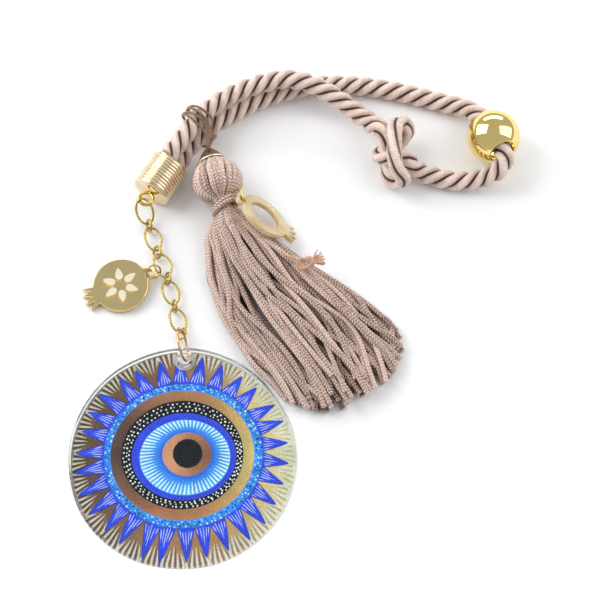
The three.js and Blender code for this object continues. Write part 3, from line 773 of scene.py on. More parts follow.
def gold_bead():
    """A hollow bead with its two holes' lips turned in."""
    inner = BEAD_RADIUS - BEAD_WALL
    outside = half_round(BEAD_RADIUS, math.asin(BEAD_HOLE / BEAD_RADIUS) + 0.05, 64)
    inside = half_round(inner, math.asin(BEAD_HOLE / inner) + 0.02, 24)[::-1]
    lip = [(BEAD_HOLE - 0.02, -inner * 0.9), (BEAD_HOLE - 0.1, -inner * 0.93)]
    far_lip = [(r, -h) for r, h in reversed(lip)]
    profile = outside + lip[::-1] + inside + far_lip[::-1]
    form = Form()
    form.lathe(in_model(BEAD_AT), BEAD_AXIS, profile[::-1], 96)
    return make("gold_bead", form, BEAD_GOLD, "bead", replaces=("spacer_bead",))


satin_rope(gold_bead())

# ---------------------------------------------------------------- end cap and eyelet
CAP_FACE = in_model([-15.4, 102.8, 7.25])
CAP_AXIS = np.array([math.cos(math.radians(58.9)), math.sin(math.radians(58.9)), 0.0])
CAP_RADIUS = 7.25
CAP_LENGTH = 14.0
CAP_RIBS = 10
RIB_DEPTH = 0.42


def end_cap():
    """A turned cap with rounded ribs, a bevelled closed end and an open mouth."""
    bevel = [(0.7, 0.0), (0.3, 0.12), (0.06, 0.45), (0.0, 0.9)]
    outside = [(CAP_RADIUS - inset, h) for inset, h in bevel]
    first_rib, last_rib = 1.0, CAP_LENGTH - 0.5
    for h in np.linspace(first_rib, last_rib, 160):
        wave = abs(math.sin(math.pi * CAP_RIBS * (h - first_rib) / (last_rib - first_rib)))
        outside.append((CAP_RADIUS - RIB_DEPTH * (1 - wave) ** 1.6, h))
    mouth = [(CAP_RADIUS - 0.1, CAP_LENGTH), (6.6, CAP_LENGTH), (6.5, CAP_LENGTH - 0.2)]
    inside = [(6.5, 1.2), (6.3, 1.0), (1.1, 1.0), (1.1, 0.0)]
    form = Form()
    form.lathe(CAP_FACE, CAP_AXIS, outside + mouth + inside, 96)
    make("end_cap_shell", form, PALE_GOLD, "cap_and_rope", replaces=("end_cap",), sharp=50)


def cap_eyelet():
    """The loop on the closed end, with its shank through the wall."""
    loop_radius, wire_radius, reach = 2.5, 0.65, 2.9
    form = Form()
    middle = CAP_FACE - CAP_AXIS * reach
    spokes = [(math.cos(a), math.sin(a)) for a in np.linspace(0, TURN, 48, endpoint=False)]
    level = np.cross(UP, CAP_AXIS)
    ring = np.array([middle + loop_radius * (c * CAP_AXIS + s * level) for c, s in spokes])
    form.tube(ring, wire_radius, 16, closed=True)
    shank = [(0, -0.6), (0.75, -0.5), (0.75, 1.3), (1.6, 1.35), (1.5, 1.9), (0, 2.0)]
    form.lathe(CAP_FACE, CAP_AXIS, shank, 24)
    make("cap_loop", form, EYELET_GOLD, "cap_and_rope", replaces=("cap_eyelet",), sharp=50)


def rope_binding():
    """Thread wound round the two rope ends inside the cap."""
    form = Form()
    rings = [(6.1 + 0.18 * abs(math.sin(math.pi * h / 0.9)), h) for h in np.linspace(3.2, 13.2, 90)]
    form.lathe(CAP_FACE, CAP_AXIS, [(0, 3.0), (5.6, 3.0)] + rings + [(5.6, 13.4), (0, 13.4)], 48)
    make("rope_binding", form, BINDING, "cap_and_rope", replaces=("rope_end_core",), sharp=60)


end_cap()
cap_eyelet()
rope_binding()

# ---------------------------------------------------------------- chain and small rings
# Middle lines of the big links, half long and half wide, and of the small round ones.
LINK_HALF = (4.85, 3.0)
CONNECTOR_RADIUS = 2.2
LINK_WIRE_RADIUS = 0.41
RING_CUT = 0.28


def faceted_ring(node, half_long, half_wide, quarter_turns, count):
    """A closed link of square wire twisted along its length, as diamond-cut chain is."""
    middle, long, wide, _ = axes_of(node)
    angle = TURN * np.arange(count)[:, None] / count
    line = middle + half_long * np.cos(angle) * long + half_wide * np.sin(angle) * wide
    twist = angle * quarter_turns / 4

    def relief(_, around):
        return 1 + 0.15 * np.cos(4 * (around + twist))

    form = Form()
    form.tube(line, LINK_WIRE_RADIUS, 16, closed=True, relief=relief)
    return form


def chain_link(name, node, body, half_long, half_wide, quarter_turns, count):
    """One link of the chain in the place of its CAD node."""
    form = faceted_ring(node, half_long, half_wide, quarter_turns, count)
    make(name, form, CHAIN_GOLD, body, replaces=(node,), sharp=35)


def chain():
    """Five big links, each followed by a small one."""
    small = CONNECTOR_RADIUS
    for n in range(1, 6):
        chain_link(f"big_link_{n}", f"chain_link_{n}", f"link_{n}", *LINK_HALF, 24, 240)
        chain_link(f"small_link_{n}", f"chain_connector_{n}", f"connector_{n}", small, small, 12, 120)


def jump_ring(name, node, body, material, radius, wire, cut_towards):
    """A round ring of plain wire with a narrow cut, the cut facing `cut_towards`."""
    middle, _, _, normal = axes_of(node)
    towards = np.array(cut_towards)
    start = unit(towards - normal * (normal @ towards))
    across = np.cross(normal, start)
    half_cut = RING_CUT / 2 / radius
    angles = np.linspace(half_cut, TURN - half_cut, 90)[:, None]
    form = Form()
    form.tube(middle + radius * (np.cos(angles) * start + np.sin(angles) * across), wire / 2, 16)
    make(name, form, material, body, replaces=(node,), sharp=50)


chain()
jump_ring(
    "disc_jump_ring", "disc_ring", "ring", ROSE_GOLD,
    radius=6.0, wire=0.92, cut_towards=(-0.7, 0.5, 0.6),
)
jump_ring(
    "charm_ring_small", "charm_ring_a", "charm_a_ring", EYELET_GOLD,
    radius=2.6, wire=0.7, cut_towards=(0.2, 0.6, 0.8),
)
jump_ring(
    "tassel_charm_ring", "charm_ring_b", "charm_b_ring", EYELET_GOLD,
    radius=2.9, wire=0.7, cut_towards=(0.3, 0.8, 0.5),
)

# ---------------------------------------------------------------- disc and printed eye
DISC_RADIUS = 40.0
DISC_THICK = 4.0
DISC_BASE = 0.35
HOLE_AT = 36.9
HOLE_RADIUS = 2.5
back = next(m for m in frame["record"]["mounts"] if m["name"] == "disc_back")
DISC_ORIGIN = np.array(back["pos_m"], float) / MM
DISC_Z = -unit(back["axis"])
DISC_X = np.array([1.0, 0.0, 0.0])
DISC_Y = np.cross(DISC_Z, DISC_X)


def circle(middle, radius, count):
    """A clockwise circle, as a hole's outline."""
    angles = np.linspace(0, TURN, count, endpoint=False)
    return [(middle[0] + radius * math.cos(-a), middle[1] + radius * math.sin(-a)) for a in angles]


def rim(angle):
    """Radius of the hand-cut rim at an angle."""
    return (
        DISC_RADIUS + 0.28 * math.cos(2 * angle + 2.9) + 0.22 * math.cos(3 * angle + 1.1)
        + 0.14 * math.cos(5 * angle - 0.6) + 0.08 * math.sin(9 * angle)
    )


def glass_disc():
    """The clear disc with its hand-cut rim and its hole; the CAD film behind it gets its finish here."""
    angles = np.linspace(0, TURN, 240, endpoint=False)
    outline = [(rim(a) * math.cos(a), rim(a) * math.sin(a)) for a in angles]
    hole = circle((0, HOLE_AT), HOLE_RADIUS, 48)
    form = Form()
    origin = DISC_ORIGIN + DISC_Z * (DISC_BASE + DISC_THICK / 2)
    form.plate((origin, DISC_X, DISC_Y, DISC_Z), [outline, hole], DISC_THICK, rounding=0.7, steps=5)
    make("glass_disc", form, GLASS, "disc", replaces=("eye_disc",), sharp=40)
    frame["nodes"]["eye_film"].data.materials.clear()
    frame["nodes"]["eye_film"].data.materials.append(FILM)


# Each ring of the eye: middle and half sizes of its outer edge.
PUPIL = (1.8, 1.8, 5.1, 5.3)
COPPER_RING = (1.65, 1.5, 8.7, 8.1)
THIN_BLUE = (1.6, 1.4, 9.4, 8.8)
IRIS = (0.9, 0.4, 15.9, 13.9)
VIOLET = (0.55, 0.75, 18.3, 16.1)
BLACK_BAND = (-0.05, 1.45, 21.4, 20.0)
COPPER_BAND = (0.0, 1.35, 25.2, 23.9)
DOTTED_BLUE = (0.3, 1.2, 27.9, 26.7)
RAYS = 30
# The print: height of the film's face over the disc's back plane, and the step between ink layers.
FILM_TOP = 0.25
PLY = 0.016
HOLE_LAYER = 4
HOLE_CLEAR = 3.0

# Ink colours round the eye: (degrees, colour).
COPPER_ROUND = [
    (0, (196, 178, 116)), (35, (196, 166, 104)), (70, (170, 122, 86)), (110, (160, 112, 80)),
    (145, (100, 72, 62)), (180, (84, 64, 60)), (215, (122, 86, 70)), (255, (166, 112, 82)),
    (290, (172, 122, 82)), (325, (190, 160, 100)), (360, (196, 178, 116)),
]
GROUND_ROUND = [
    (0, (208, 190, 132)), (40, (204, 180, 118)), (75, (152, 118, 84)), (115, (112, 86, 66)),
    (150, (96, 76, 62)), (190, (92, 72, 58)), (225, (116, 90, 72)), (265, (156, 116, 84)),
    (300, (176, 140, 92)), (330, (200, 172, 112)), (360, (208, 190, 132)),
]
PALE_ROUND = [
    (0, (206, 210, 190)), (90, (206, 204, 192)), (180, (196, 190, 170)), (270, (214, 216, 210)),
    (360, (206, 210, 190)),
]
BLACK_INK = srgb(22, 26, 30)


def round_colour(table, degrees):
    """A colour from a table of (angle, colour), as linear light."""
    at = [a for a, _ in table]
    mixed = [np.interp(degrees % 360, at, [c[k] for _, c in table]) for k in range(3)]
    return np.array(srgb(*mixed))


class Ink:
    """Flat printed shapes, in layers a few hundredths of a millimetre apart."""

    def __init__(self):
        self.points, self.faces, self.colours = [], [], []

    def shape(self, corners, layer, colours):
        """One flat shape; colours are one colour, or one for each corner.  None lies over the hole."""
        middle = np.mean(corners, 0)
        if layer < HOLE_LAYER and math.hypot(middle[0], middle[1] - HOLE_AT) < HOLE_CLEAR:
            return
        start = len(self.points)
        self.points.extend((x, y, FILM_TOP + (layer + 1) * PLY) for x, y in corners)
        self.faces.append(list(range(start, start + len(corners))))
        colours = np.broadcast_to(colours, (len(corners), 3)) if np.ndim(colours) == 1 else colours
        self.colours.extend((*c, 1.0) for c in colours)

    def ring(self, inner, outer, layer, colour_at, bands=1, count=180):
        """The ring between two ovals; colour_at(angle, share) gives its colours."""
        for i in range(count):
            a, b = TURN * i / count, TURN * (i + 1) / count
            for j in range(bands):
                p, q = j / bands, (j + 1) / bands
                places = ((a, p), (a, q), (b, q), (b, p))
                corners = [on_ring(inner, outer, angle, share) for angle, share in places]
                self.shape(corners, layer, [colour_at(angle, share) for angle, share in places])

    def dot(self, at, radius, layer, colour, sides=8):
        """A round dab of ink, each turned its own way."""
        spin = (at[0] * 7.3 + at[1] * 3.1) % TURN
        angles = [spin + TURN * k / sides for k in range(sides)]
        corners = [(at[0] + radius * math.cos(a), at[1] + radius * math.sin(a)) for a in angles]
        self.shape(corners, layer, np.array(colour))

    def sliver(self, start, end, wide_start, wide_middle, wide_end, layer, colour):
        """A brush stroke from start to end, in four lengths."""
        start, end = np.array(start), np.array(end)
        along = end - start
        across = np.array([-along[1], along[0]]) / (np.linalg.norm(along) + 1e-9)
        shares = [0, 0.3, 0.6, 0.85, 1]
        widths = np.interp(shares, [0, 0.5, 1], [wide_start, wide_middle, wide_end]) / 2
        for s, t, w, v in zip(shares, shares[1:], widths, widths[1:]):
            p, q = start + along * s, start + along * t
            corners = [p + across * -w, q + across * -v, q + across * v, p + across * w]
            self.shape(corners, layer, np.array(colour))


def on_oval(oval, angle):
    """A point on an oval given as (middle x, middle y, half width, half height)."""
    return np.array([oval[0] + oval[2] * math.cos(angle), oval[1] + oval[3] * math.sin(angle)])


def on_ring(inner, outer, angle, share):
    """A point between two ovals, at a share of the way out."""
    return on_oval(inner, angle) * (1 - share) + on_oval(outer, angle) * share


def painted_ground(ink):
    """The coloured ground outside the rings, paler towards the rim and to the right."""
    shares = [0, 0.25, 0.5, 0.7, 0.86, 1]
    margin = 0.5
    count = 300
    for i in range(count):
        a, b = TURN * i / count, TURN * (i + 1) / count
        for s, t in zip(shares[:-1], shares[1:]):
            corners, colours = [], []
            for angle, share in ((a, s), (a, t), (b, t), (b, s)):
                inner = on_oval(DOTTED_BLUE, angle)
                outer = np.array([math.cos(angle), math.sin(angle)]) * (rim(angle) - margin)
                corners.append(inner * (1 - share) + outer * share)
                degrees = math.degrees(angle)
                right = max(0.0, math.cos(angle - 0.2))
                pale = np.clip((share - 0.55 + 0.3 * right) / 0.5, 0, 1) * (0.35 + 0.55 * right)
                ground = round_colour(GROUND_ROUND, degrees)
                colours.append(ground * (1 - pale) + round_colour(PALE_ROUND, degrees) * pale)
            ink.shape(corners, 0, np.array(colours))


def ray_body(ink, left, right, tip):
    """One pointed ray on its dark outline, a little deeper in colour at its foot than at its tip."""
    blue, deep = np.array(srgb(48, 76, 222)), np.array(srgb(40, 56, 190))
    outline = np.array(srgb(26, 46, 84))
    middle = (left + right) / 2
    across = unit(right - left)
    steps = 14
    for layer, grow in ((1, 0.15), (2, 0.0)):
        for i in range(steps):
            s, t = i / steps, (i + 1) / steps
            corners = []
            for share, edge, sign in ((s, left, -1), (t, left, -1), (t, right, 1), (s, right, 1)):
                bow = (1 - share) ** 0.82
                spine = middle * (1 - share) + tip * share
                corners.append(spine + (edge - middle) * bow + across * sign * grow)
            shade = outline if layer == 1 else blue * (1 - 0.35 * s) + deep * 0.35 * s
            ink.shape(corners, layer, shade)


def ray_strokes(ink, rng, left, right, tip):
    """Five pale slivers that rise from a ray's foot."""
    for k in range(5):
        share = (k + 0.5) / 5 + rng.uniform(-0.03, 0.03)
        foot = left * (1 - share) + right * share
        foot = foot + (tip - foot) * rng.uniform(0.03, 0.12)
        aim = foot + (tip - foot) * (0.62 - 0.9 * abs(share - 0.5) + rng.uniform(-0.06, 0.06))
        pale = np.array(srgb(196, 210, 240)) * rng.uniform(0.7, 1.0)
        ink.sliver(foot, aim, 0.22, 0.36, 0.05, 3, pale)


def gap_strokes(ink, rng, gap_angle):
    """Nine strokes, pale and dark by turns, from the rim down into the gap between two rays."""
    degrees = math.degrees(gap_angle)
    pale = round_colour(PALE_ROUND, degrees)
    dark = round_colour(GROUND_ROUND, degrees) * (0.55 + 0.3 * max(0, math.cos(gap_angle)))
    valley = on_oval(DOTTED_BLUE, gap_angle) * 1.05
    for k in range(9):
        spread = (k - 4) / 4
        angle = gap_angle + spread * 0.49 * TURN / RAYS
        outer = (rim(angle) - rng.uniform(0.8, 1.5)) * np.array([math.cos(angle), math.sin(angle)])
        inner = outer + (valley - outer) * rng.uniform(0.42, 0.66) * (1 - 0.35 * abs(spread))
        ink.sliver(outer, inner, 0.7, 0.5, 0.06, 1, pale if k % 2 == 0 else dark)


def painted_rays(ink, rng):
    """Pointed rays round the rings, each a little out of true, and strokes between them."""
    half = 0.5 * TURN / RAYS
    for n in range(RAYS):
        angle = TURN * (n + 0.05 * math.sin(n * 2.3) + 0.5) / RAYS + 0.05
        reach = 37.9 + 0.7 * math.sin(n * 1.3) - 0.6 * max(0, math.cos(angle))
        tip_angle = angle + 0.016 * math.sin(n * 2.9)
        tip = reach * np.array([math.cos(tip_angle), math.sin(tip_angle)])
        left, right = on_oval(DOTTED_BLUE, angle - half), on_oval(DOTTED_BLUE, angle + half)
        ray_body(ink, left, right, tip)
        ray_strokes(ink, rng, left, right, tip)
        gap_strokes(ink, rng, angle + half)


def painted_rings(ink):
    """The nested rings from the pupil out."""
    centre = (PUPIL[0], PUPIL[1], 0.01, 0.01)
    black = np.array(BLACK_INK)
    copper = np.array(srgb(172, 124, 92))
    sky, royal = np.array(srgb(92, 186, 238)), np.array(srgb(50, 104, 222))
    violet, bright = np.array(srgb(56, 78, 222)), np.array(srgb(58, 146, 236))

    def copper_round(angle, share):
        return round_colour(COPPER_ROUND, math.degrees(angle)) * (0.86 + 0.2 * share)

    ink.ring(centre, PUPIL, 0, lambda a, s: black, count=90)
    ink.ring(PUPIL, COPPER_RING, 0, lambda a, s: copper * (1.0 - 0.45 * math.cos(a)), count=90)
    ink.ring(COPPER_RING, THIN_BLUE, 0, lambda a, s: royal, count=90)
    ink.ring(THIN_BLUE, IRIS, 0, lambda a, s: royal * max(0, 1 - 2 * s) + sky * min(1, 2 * s), 4, 120)
    ink.ring(IRIS, VIOLET, 0, lambda a, s: violet, count=120)
    ink.ring(VIOLET, BLACK_BAND, 0, lambda a, s: black, count=150)
    ink.ring(BLACK_BAND, COPPER_BAND, 0, copper_round, 2)
    ink.ring(COPPER_BAND, DOTTED_BLUE, 0, lambda a, s: bright * (1.0 - 0.25 * s))


def iris_strokes(ink, rng):
    """Pale strokes across the iris with a blue one between each two."""
    strokes = 64
    for n in range(strokes):
        angle = TURN * n / strokes
        start = on_ring(THIN_BLUE, IRIS, angle, rng.uniform(0.25, 0.4))
        end = on_ring(THIN_BLUE, IRIS, angle, 0.97)
        ink.sliver(start, end, 0.12, 0.42, 0.6, 1, srgb(222, 240, 244))
        angle += TURN / strokes / 2
        start = on_ring(THIN_BLUE, IRIS, angle, 0.02)
        end = on_ring(THIN_BLUE, IRIS, angle, rng.uniform(0.8, 1.0))
        ink.sliver(start, end, 0.5, 0.34, 0.1, 1, srgb(52, 128, 226))


def pupil_edge(ink, rng):
    """Short black bites that roughen the pupil's edge."""
    bites = 90
    for n in range(bites):
        at = on_oval(PUPIL, TURN * n / bites)
        end = at + unit(at - PUPIL[:2]) * (0.35 * rng.random())
        ink.sliver(at * 0.99, end, 0.28, 0.2, 0.05, 1, np.array(BLACK_INK))


def dotted_bands(ink, rng):
    """Three ranks of dots in each of the black, the violet and the bright blue bands."""
    for rank, share in enumerate((0.22, 0.5, 0.78)):
        for n in range(70):
            angle = TURN * (n + rank / 3 + rng.uniform(-0.2, 0.2)) / 70
            at = on_ring(VIOLET, BLACK_BAND, angle, share + rng.uniform(-0.05, 0.05))
            ink.dot(at, rng.uniform(0.24, 0.38), 1, srgb(232, 236, 230))
    for rank, share in enumerate((0.25, 0.5, 0.78)):
        for n in range(100):
            angle = TURN * (n + rank / 3) / 100
            ink.dot(on_ring(IRIS, VIOLET, angle, share), 0.2, 1, srgb(30, 34, 120), 5)
    tones = (srgb(24, 30, 44), srgb(150, 200, 245), srgb(205, 226, 245), srgb(34, 60, 180))
    for rank, share in enumerate((0.24, 0.52, 0.8)):
        for n in range(92):
            angle = TURN * (n + rank / 3 + rng.uniform(-0.25, 0.25)) / 92
            at = on_ring(COPPER_BAND, DOTTED_BLUE, angle, share + rng.uniform(-0.06, 0.06))
            ink.dot(at, rng.uniform(0.22, 0.42), 1, tones[rng.randrange(4)], 6)


def printed_eye():
    """The whole print as one piece, with an ink colour on every corner."""
    rng = random.Random(7)
    ink = Ink()
    painted_ground(ink)
    painted_rays(ink, rng)
    painted_rings(ink)
    iris_strokes(ink, rng)
    pupil_edge(ink, rng)
    dotted_bands(ink, rng)
    near, far = (0, HOLE_AT, 2.8, 2.8), (0, HOLE_AT, 3.9, 3.9)
    ink.ring(near, far, HOLE_LAYER, lambda a, s: np.array(srgb(176, 166, 166)), count=40)
    points = np.array(ink.points)
    places = DISC_ORIGIN + points[:, :1] * DISC_X + points[:, 1:2] * DISC_Y + points[:, 2:] * DISC_Z
    mesh = bpy.data.meshes.new("printed_eye")
    mesh.from_pydata((places * MM).tolist(), [], ink.faces)
    layer = mesh.color_attributes.new("ink", "FLOAT_COLOR", "CORNER")
    layer.data.foreach_set("color", np.array(ink.colours, np.float32).ravel())
    mesh.materials.append(PRINT)
    piece = bpy.data.objects.new("printed_eye", mesh)
    bpy.context.scene.collection.objects.link(piece)
    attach(piece, "disc")


glass_disc()
printed_eye()

# ---------------------------------------------------------------- pomegranate charms
# A charm: radius of the fruit, place and radius of its tab and of the tab's hole, and the crown's
# reach and half width.
FRUIT = 10.2
TAB_AT = 10.3
TAB = 2.4
TAB_HOLE = 1.45
CROWN = 13.4
CROWN_HALF = 3.4
RING_CHARM_HOLE = 6.3
CHARM_THICK = 1.8
SEEDS = 6


def arc(middle, radius, start, end, count):
    """Points on an arc, angles in radians."""
    angles = np.linspace(start, end, count)
    return [(middle[0] + radius * math.cos(a), middle[1] + radius * math.sin(a)) for a in angles]


def pomegranate_outline():
    """The fruit at the origin, its crown along +X and its tab along -X."""
    crown_half = math.asin(CROWN_HALF / FRUIT)
    tab_half = math.asin(TAB / FRUIT) * 0.95
    points = arc((0, 0), FRUIT, crown_half, math.pi - tab_half, 60)
    points += arc((-TAB_AT, 0), TAB, math.radians(110), math.radians(250), 24)
    points += arc((0, 0), FRUIT, math.pi + tab_half, TURN - crown_half, 60)
    long_tip = CROWN + 0.9
    lower = [(CROWN, -4.6), (10.8, -2.2), (long_tip, -1.6)]
    upper = [(x, -y) for x, y in reversed(lower)]
    return points + lower + [(11.0, 0)] + upper


def plate_frame(hole, axis, up):
    """Origin and directions of a charm whose tab hole is at `hole` and whose crown is along `axis`."""
    x = unit(axis)
    y = unit(np.cross(up, x))
    return hole + x * TAB_AT, x, y, np.cross(x, y)


def first_charm():
    """The solid charm: a mirror plate, its polished edges, its round of six seeds and a painted shadow of them."""
    heading, rise = math.radians(204), math.radians(3.8)
    axis = (math.cos(heading), math.sin(heading), -math.tan(rise))
    placed = plate_frame(joint_at("charm_a_swing"), axis, UP)
    form = Form()
    form.plate(placed, [pomegranate_outline(), circle((-TAB_AT, 0), TAB_HOLE, 32)], CHARM_THICK, 0.22, 3)
    make("mirror_charm", form, MIRROR, "charm_a", replaces=("pomegranate_charm",), sharp=30)
    origin, x, y, z = placed
    # A shifted copy of the seeds in darker gold, under the frosted ones: a painted shadow.
    seed_marks("shaded_seeds", placed, (0.5, 0.8), 0.02, SHADED_MARK)
    seed_marks("frosted_seeds", placed, (0, 0), 0.04, FROSTED)
    edge = Form()
    for height in (CHARM_THICK / 2 - 0.12, 0.12 - CHARM_THICK / 2):
        flat = np.array(inset_loop(pomegranate_outline(), 0.16))
        line = origin + flat[:, :1] * x + flat[:, 1:] * y + height * z
        edge.tube(line, 0.17, 8, closed=True)
    make("polished_edge", edge, EDGE_GOLD, "charm_a")


def seed_marks(name, placed, shift, raised, material):
    """Six pomegranate seeds in a round, standing a little proud of the plate; shifted and darker, the round is a
    painted shadow of the frosted seeds.
    """
    origin, x, y, z = placed
    form = Form()
    for n in range(SEEDS):
        angle = TURN * n / SEEDS + 0.3
        c, s = math.cos(angle), math.sin(angle)
        drop = []
        for t in np.linspace(0, TURN, 28, endpoint=False):
            along, wide = 4.5 - 2.3 * math.cos(t), 1.25 * math.sin(t) * (1 + 0.45 * math.cos(t))
            drop.append((along * c - wide * s + shift[0], along * s + wide * c + shift[1]))
        form.plate((origin + z * (CHARM_THICK / 2 + raised), x, y, z), [drop], 0.1, 0.04, 1)
    make(name, form, material, "charm_a", sharp=30)


def second_charm():
    """The ring-shaped charm of milky acrylic, tipped on its side against the strands."""
    heading, dip, roll = math.radians(-23.7), math.radians(31), math.radians(38)
    axis = np.array([math.cos(dip) * math.cos(heading), math.cos(dip) * math.sin(heading), -math.sin(dip)])
    rolled = UP * math.cos(roll) - np.cross(axis, UP) * math.sin(roll)
    up = rolled + axis * (axis @ UP) * (1 - math.cos(roll))
    placed = plate_frame(joint_at("charm_b_swing"), axis, up)
    form = Form()
    loops = [pomegranate_outline(), circle((-TAB_AT, 0), TAB_HOLE, 32), circle((0, 0), RING_CHARM_HOLE, 72)]
    form.plate(placed, loops, CHARM_THICK, 0.3, 4)
    make(
        "acrylic_charm", form, ACRYLIC, "charm_b",
        replaces=("pomegranate_ring_charm",), sharp=30,
    )


first_charm()
second_charm()

# ---------------------------------------------------------------- tassel
APEX = in_model([5.6, 119.9, 9.75])
TASSEL_AXIS = np.array([math.sin(math.radians(16)), -math.cos(math.radians(16)), 0.0])
TASSEL_SIDE = np.cross(UP, TASSEL_AXIS)
STRAND = 0.92
CONE_RADIUS = 5.6
CONE_HEIGHT = 6.2
CONE_WALL = 0.5
NECK = 25.0
STITCH_STEP = 0.38
# The head's core is tinted darkest: painted shade in the gaps between its cords.
CORE_SHADE = -0.6


def round_tassel(along, radius, angle):
    """A place on a circle round the tassel's axis, `along` from the cone's tip."""
    return APEX + TASSEL_AXIS * along + radius * (math.cos(angle) * TASSEL_SIDE + math.sin(angle) * UP)


def braided_relief(run, angle):
    """Slanting stitches in columns round a braided cord, as the braided_yarn group colours them."""
    column = np.abs((angle / TURN * STITCH_COLUMNS) % 2 - 1)
    return 1 + 0.045 * np.sin(TURN * (run / BRAID_PITCH + STITCH_SLANT * column))


def tassel_cone():
    """A thin hammered cone with a bright rolled rim."""
    slope = [
        (0.9, 0.3), (1.5, 0.3), (2.1, 1.0), (2.9, 1.9), (3.7, 2.9), (4.5, 4.1), (5.1, 5.2),
        (CONE_RADIUS, CONE_HEIGHT - 0.4),
    ]
    inside = [(r - CONE_WALL, h) for r, h in reversed(slope[2:])] + [(0.9, 1.0)]
    form = Form()
    form.lathe(APEX, TASSEL_AXIS, slope + inside, 64)
    make("hammered_cone", form, ANTIQUE, "tassel", replaces=("tassel_cone",), sharp=60)
    roll, at, height = 0.36, CONE_RADIUS - 0.1, CONE_HEIGHT - 0.3
    angles = np.linspace(0, TURN, 16, endpoint=False)
    lip = Form()
    lip.lathe(
        APEX, TASSEL_AXIS, [(at + roll * math.cos(a), height + roll * math.sin(a)) for a in angles], 96
    )
    make("cone_rim", lip, BRIGHT_RIM, "tassel")


# The outline of the tassel's head: distance from the cone's tip, and radius.
HEAD_PROFILE = [
    (3.6, 2.2), (5.0, 3.6), (6.2, 4.8), (8.4, 7.0), (11.4, 8.9), (14.6, 9.65), (17.4, 8.9), (19.8, 6.4),
    (21.4, 4.0), (23.2, 2.9), (25.0, 2.8), (27.0, 3.4),
]
HEAD_CORDS = 21


def cord_radius(body_radius):
    """Radius of each of the head's cords where they stand side by side round it."""
    return np.clip(math.pi * body_radius / HEAD_CORDS * 0.93, 0.5, 1.2)


def tassel_head():
    """Cords laid side by side over an egg-shaped core, each a little twisted round it."""
    rng = random.Random(11)
    form = Form()
    heights = [h for h, _ in HEAD_PROFILE]
    radii = [r for _, r in HEAD_PROFILE]
    for n in range(HEAD_CORDS):
        wander = rng.uniform(-0.05, 0.05)
        points = []
        for h in np.linspace(heights[0], heights[-1], 22):
            radius = np.interp(h, heights, radii)
            twist = 0.35 * (h / NECK) ** 2 + 0.03 * math.sin(h * 0.7 + n)
            angle = TURN * n / HEAD_CORDS + wander + twist
            points.append(round_tassel(h, radius - 1.06 * cord_radius(radius), angle))
        line = smooth(points, STITCH_STEP)
        here = np.interp(np.linspace(heights[0], heights[-1], len(line)), heights, radii)
        form.tube(line, cord_radius(here), 12, tint=rng.uniform(0.55, 0.95), relief=braided_relief)
    # The core, tinted darkest, is painted shade where it shows between the cords.
    core = [(0, 4.0)] + [(max(0.5, r - 1.5), h) for h, r in HEAD_PROFILE[1:]] + [(0, 27.0)]
    form.lathe(APEX, TASSEL_AXIS, core, 24, tint=CORE_SHADE)
    make("tassel_head_cords", form, BRAIDED, "tassel", replaces=("tassel_head",))


def neck_wraps():
    """Turns of the same cord, drawn tight round the neck, each at its own slant."""
    form = Form()
    for shift, slant, radius in ((-0.75, -0.36, 4.6), (0.75, -0.3, 4.7), (0.0, -0.16, 4.2)):
        points = []
        for angle in np.linspace(0, TURN, 24, endpoint=False):
            along = NECK + shift + radius * slant * math.cos(angle)
            points.append(round_tassel(along, radius, angle))
        line = smooth(points, 0.5, closed=True)
        form.tube(line, 0.85, 12, closed=True, tint=0.55, relief=braided_relief)
    make("neck_wraps", form, BRAIDED, "tassel", replaces=("neck_tie",))


# The fan of the skirt: share of the length, left edge x and y, right edge x and y, outward bulge
# and height.
SKIRT = np.array([
    (0.00, 10.0, 95.2, 15.2, 97.0, 0.0, 12.9),
    (0.05, 8.6, 92.0, 17.6, 94.6, 0.0, 13.2),
    (0.13, 5.7, 86.0, 23.6, 90.0, 0.0, 13.2),
    (0.32, 6.7, 70.5, 38.4, 78.8, 0.0, 12.4),
    (0.52, 12.2, 54.0, 54.0, 67.6, 1.0, 10.8),
    (0.74, 21.5, 38.5, 67.0, 57.2, 4.0, 9.0),
    (0.90, 28.6, 27.0, 75.5, 49.0, 8.5, 7.4),
    (1.00, 32.6, 20.5, 79.0, 42.6, 12.0, 5.6),
])
FAN_OUT = np.array([0.42, -0.9])
# The skirt's layers from the table up: name, number of strands, and level from 0 to 1; lower levels are tinted
# darker as painted shade.
SKIRT_LAYERS = [("bottom", 22, 0.02), ("lower", 24, 0.36), ("upper", 26, 0.7), ("top", 29, 1.0)]
LOW_DISC_GAP = 4.6
HIGH_DISC_GAP = 1.6


def clear_of_disc(flat, level):
    """A place in plan, moved out from the disc's middle until a strand there clears the disc."""
    away = math.hypot(*flat)
    nearest = DISC_RADIUS + (LOW_DISC_GAP if level < 0.6 else HIGH_DISC_GAP)
    return flat * nearest / away if away < nearest else flat


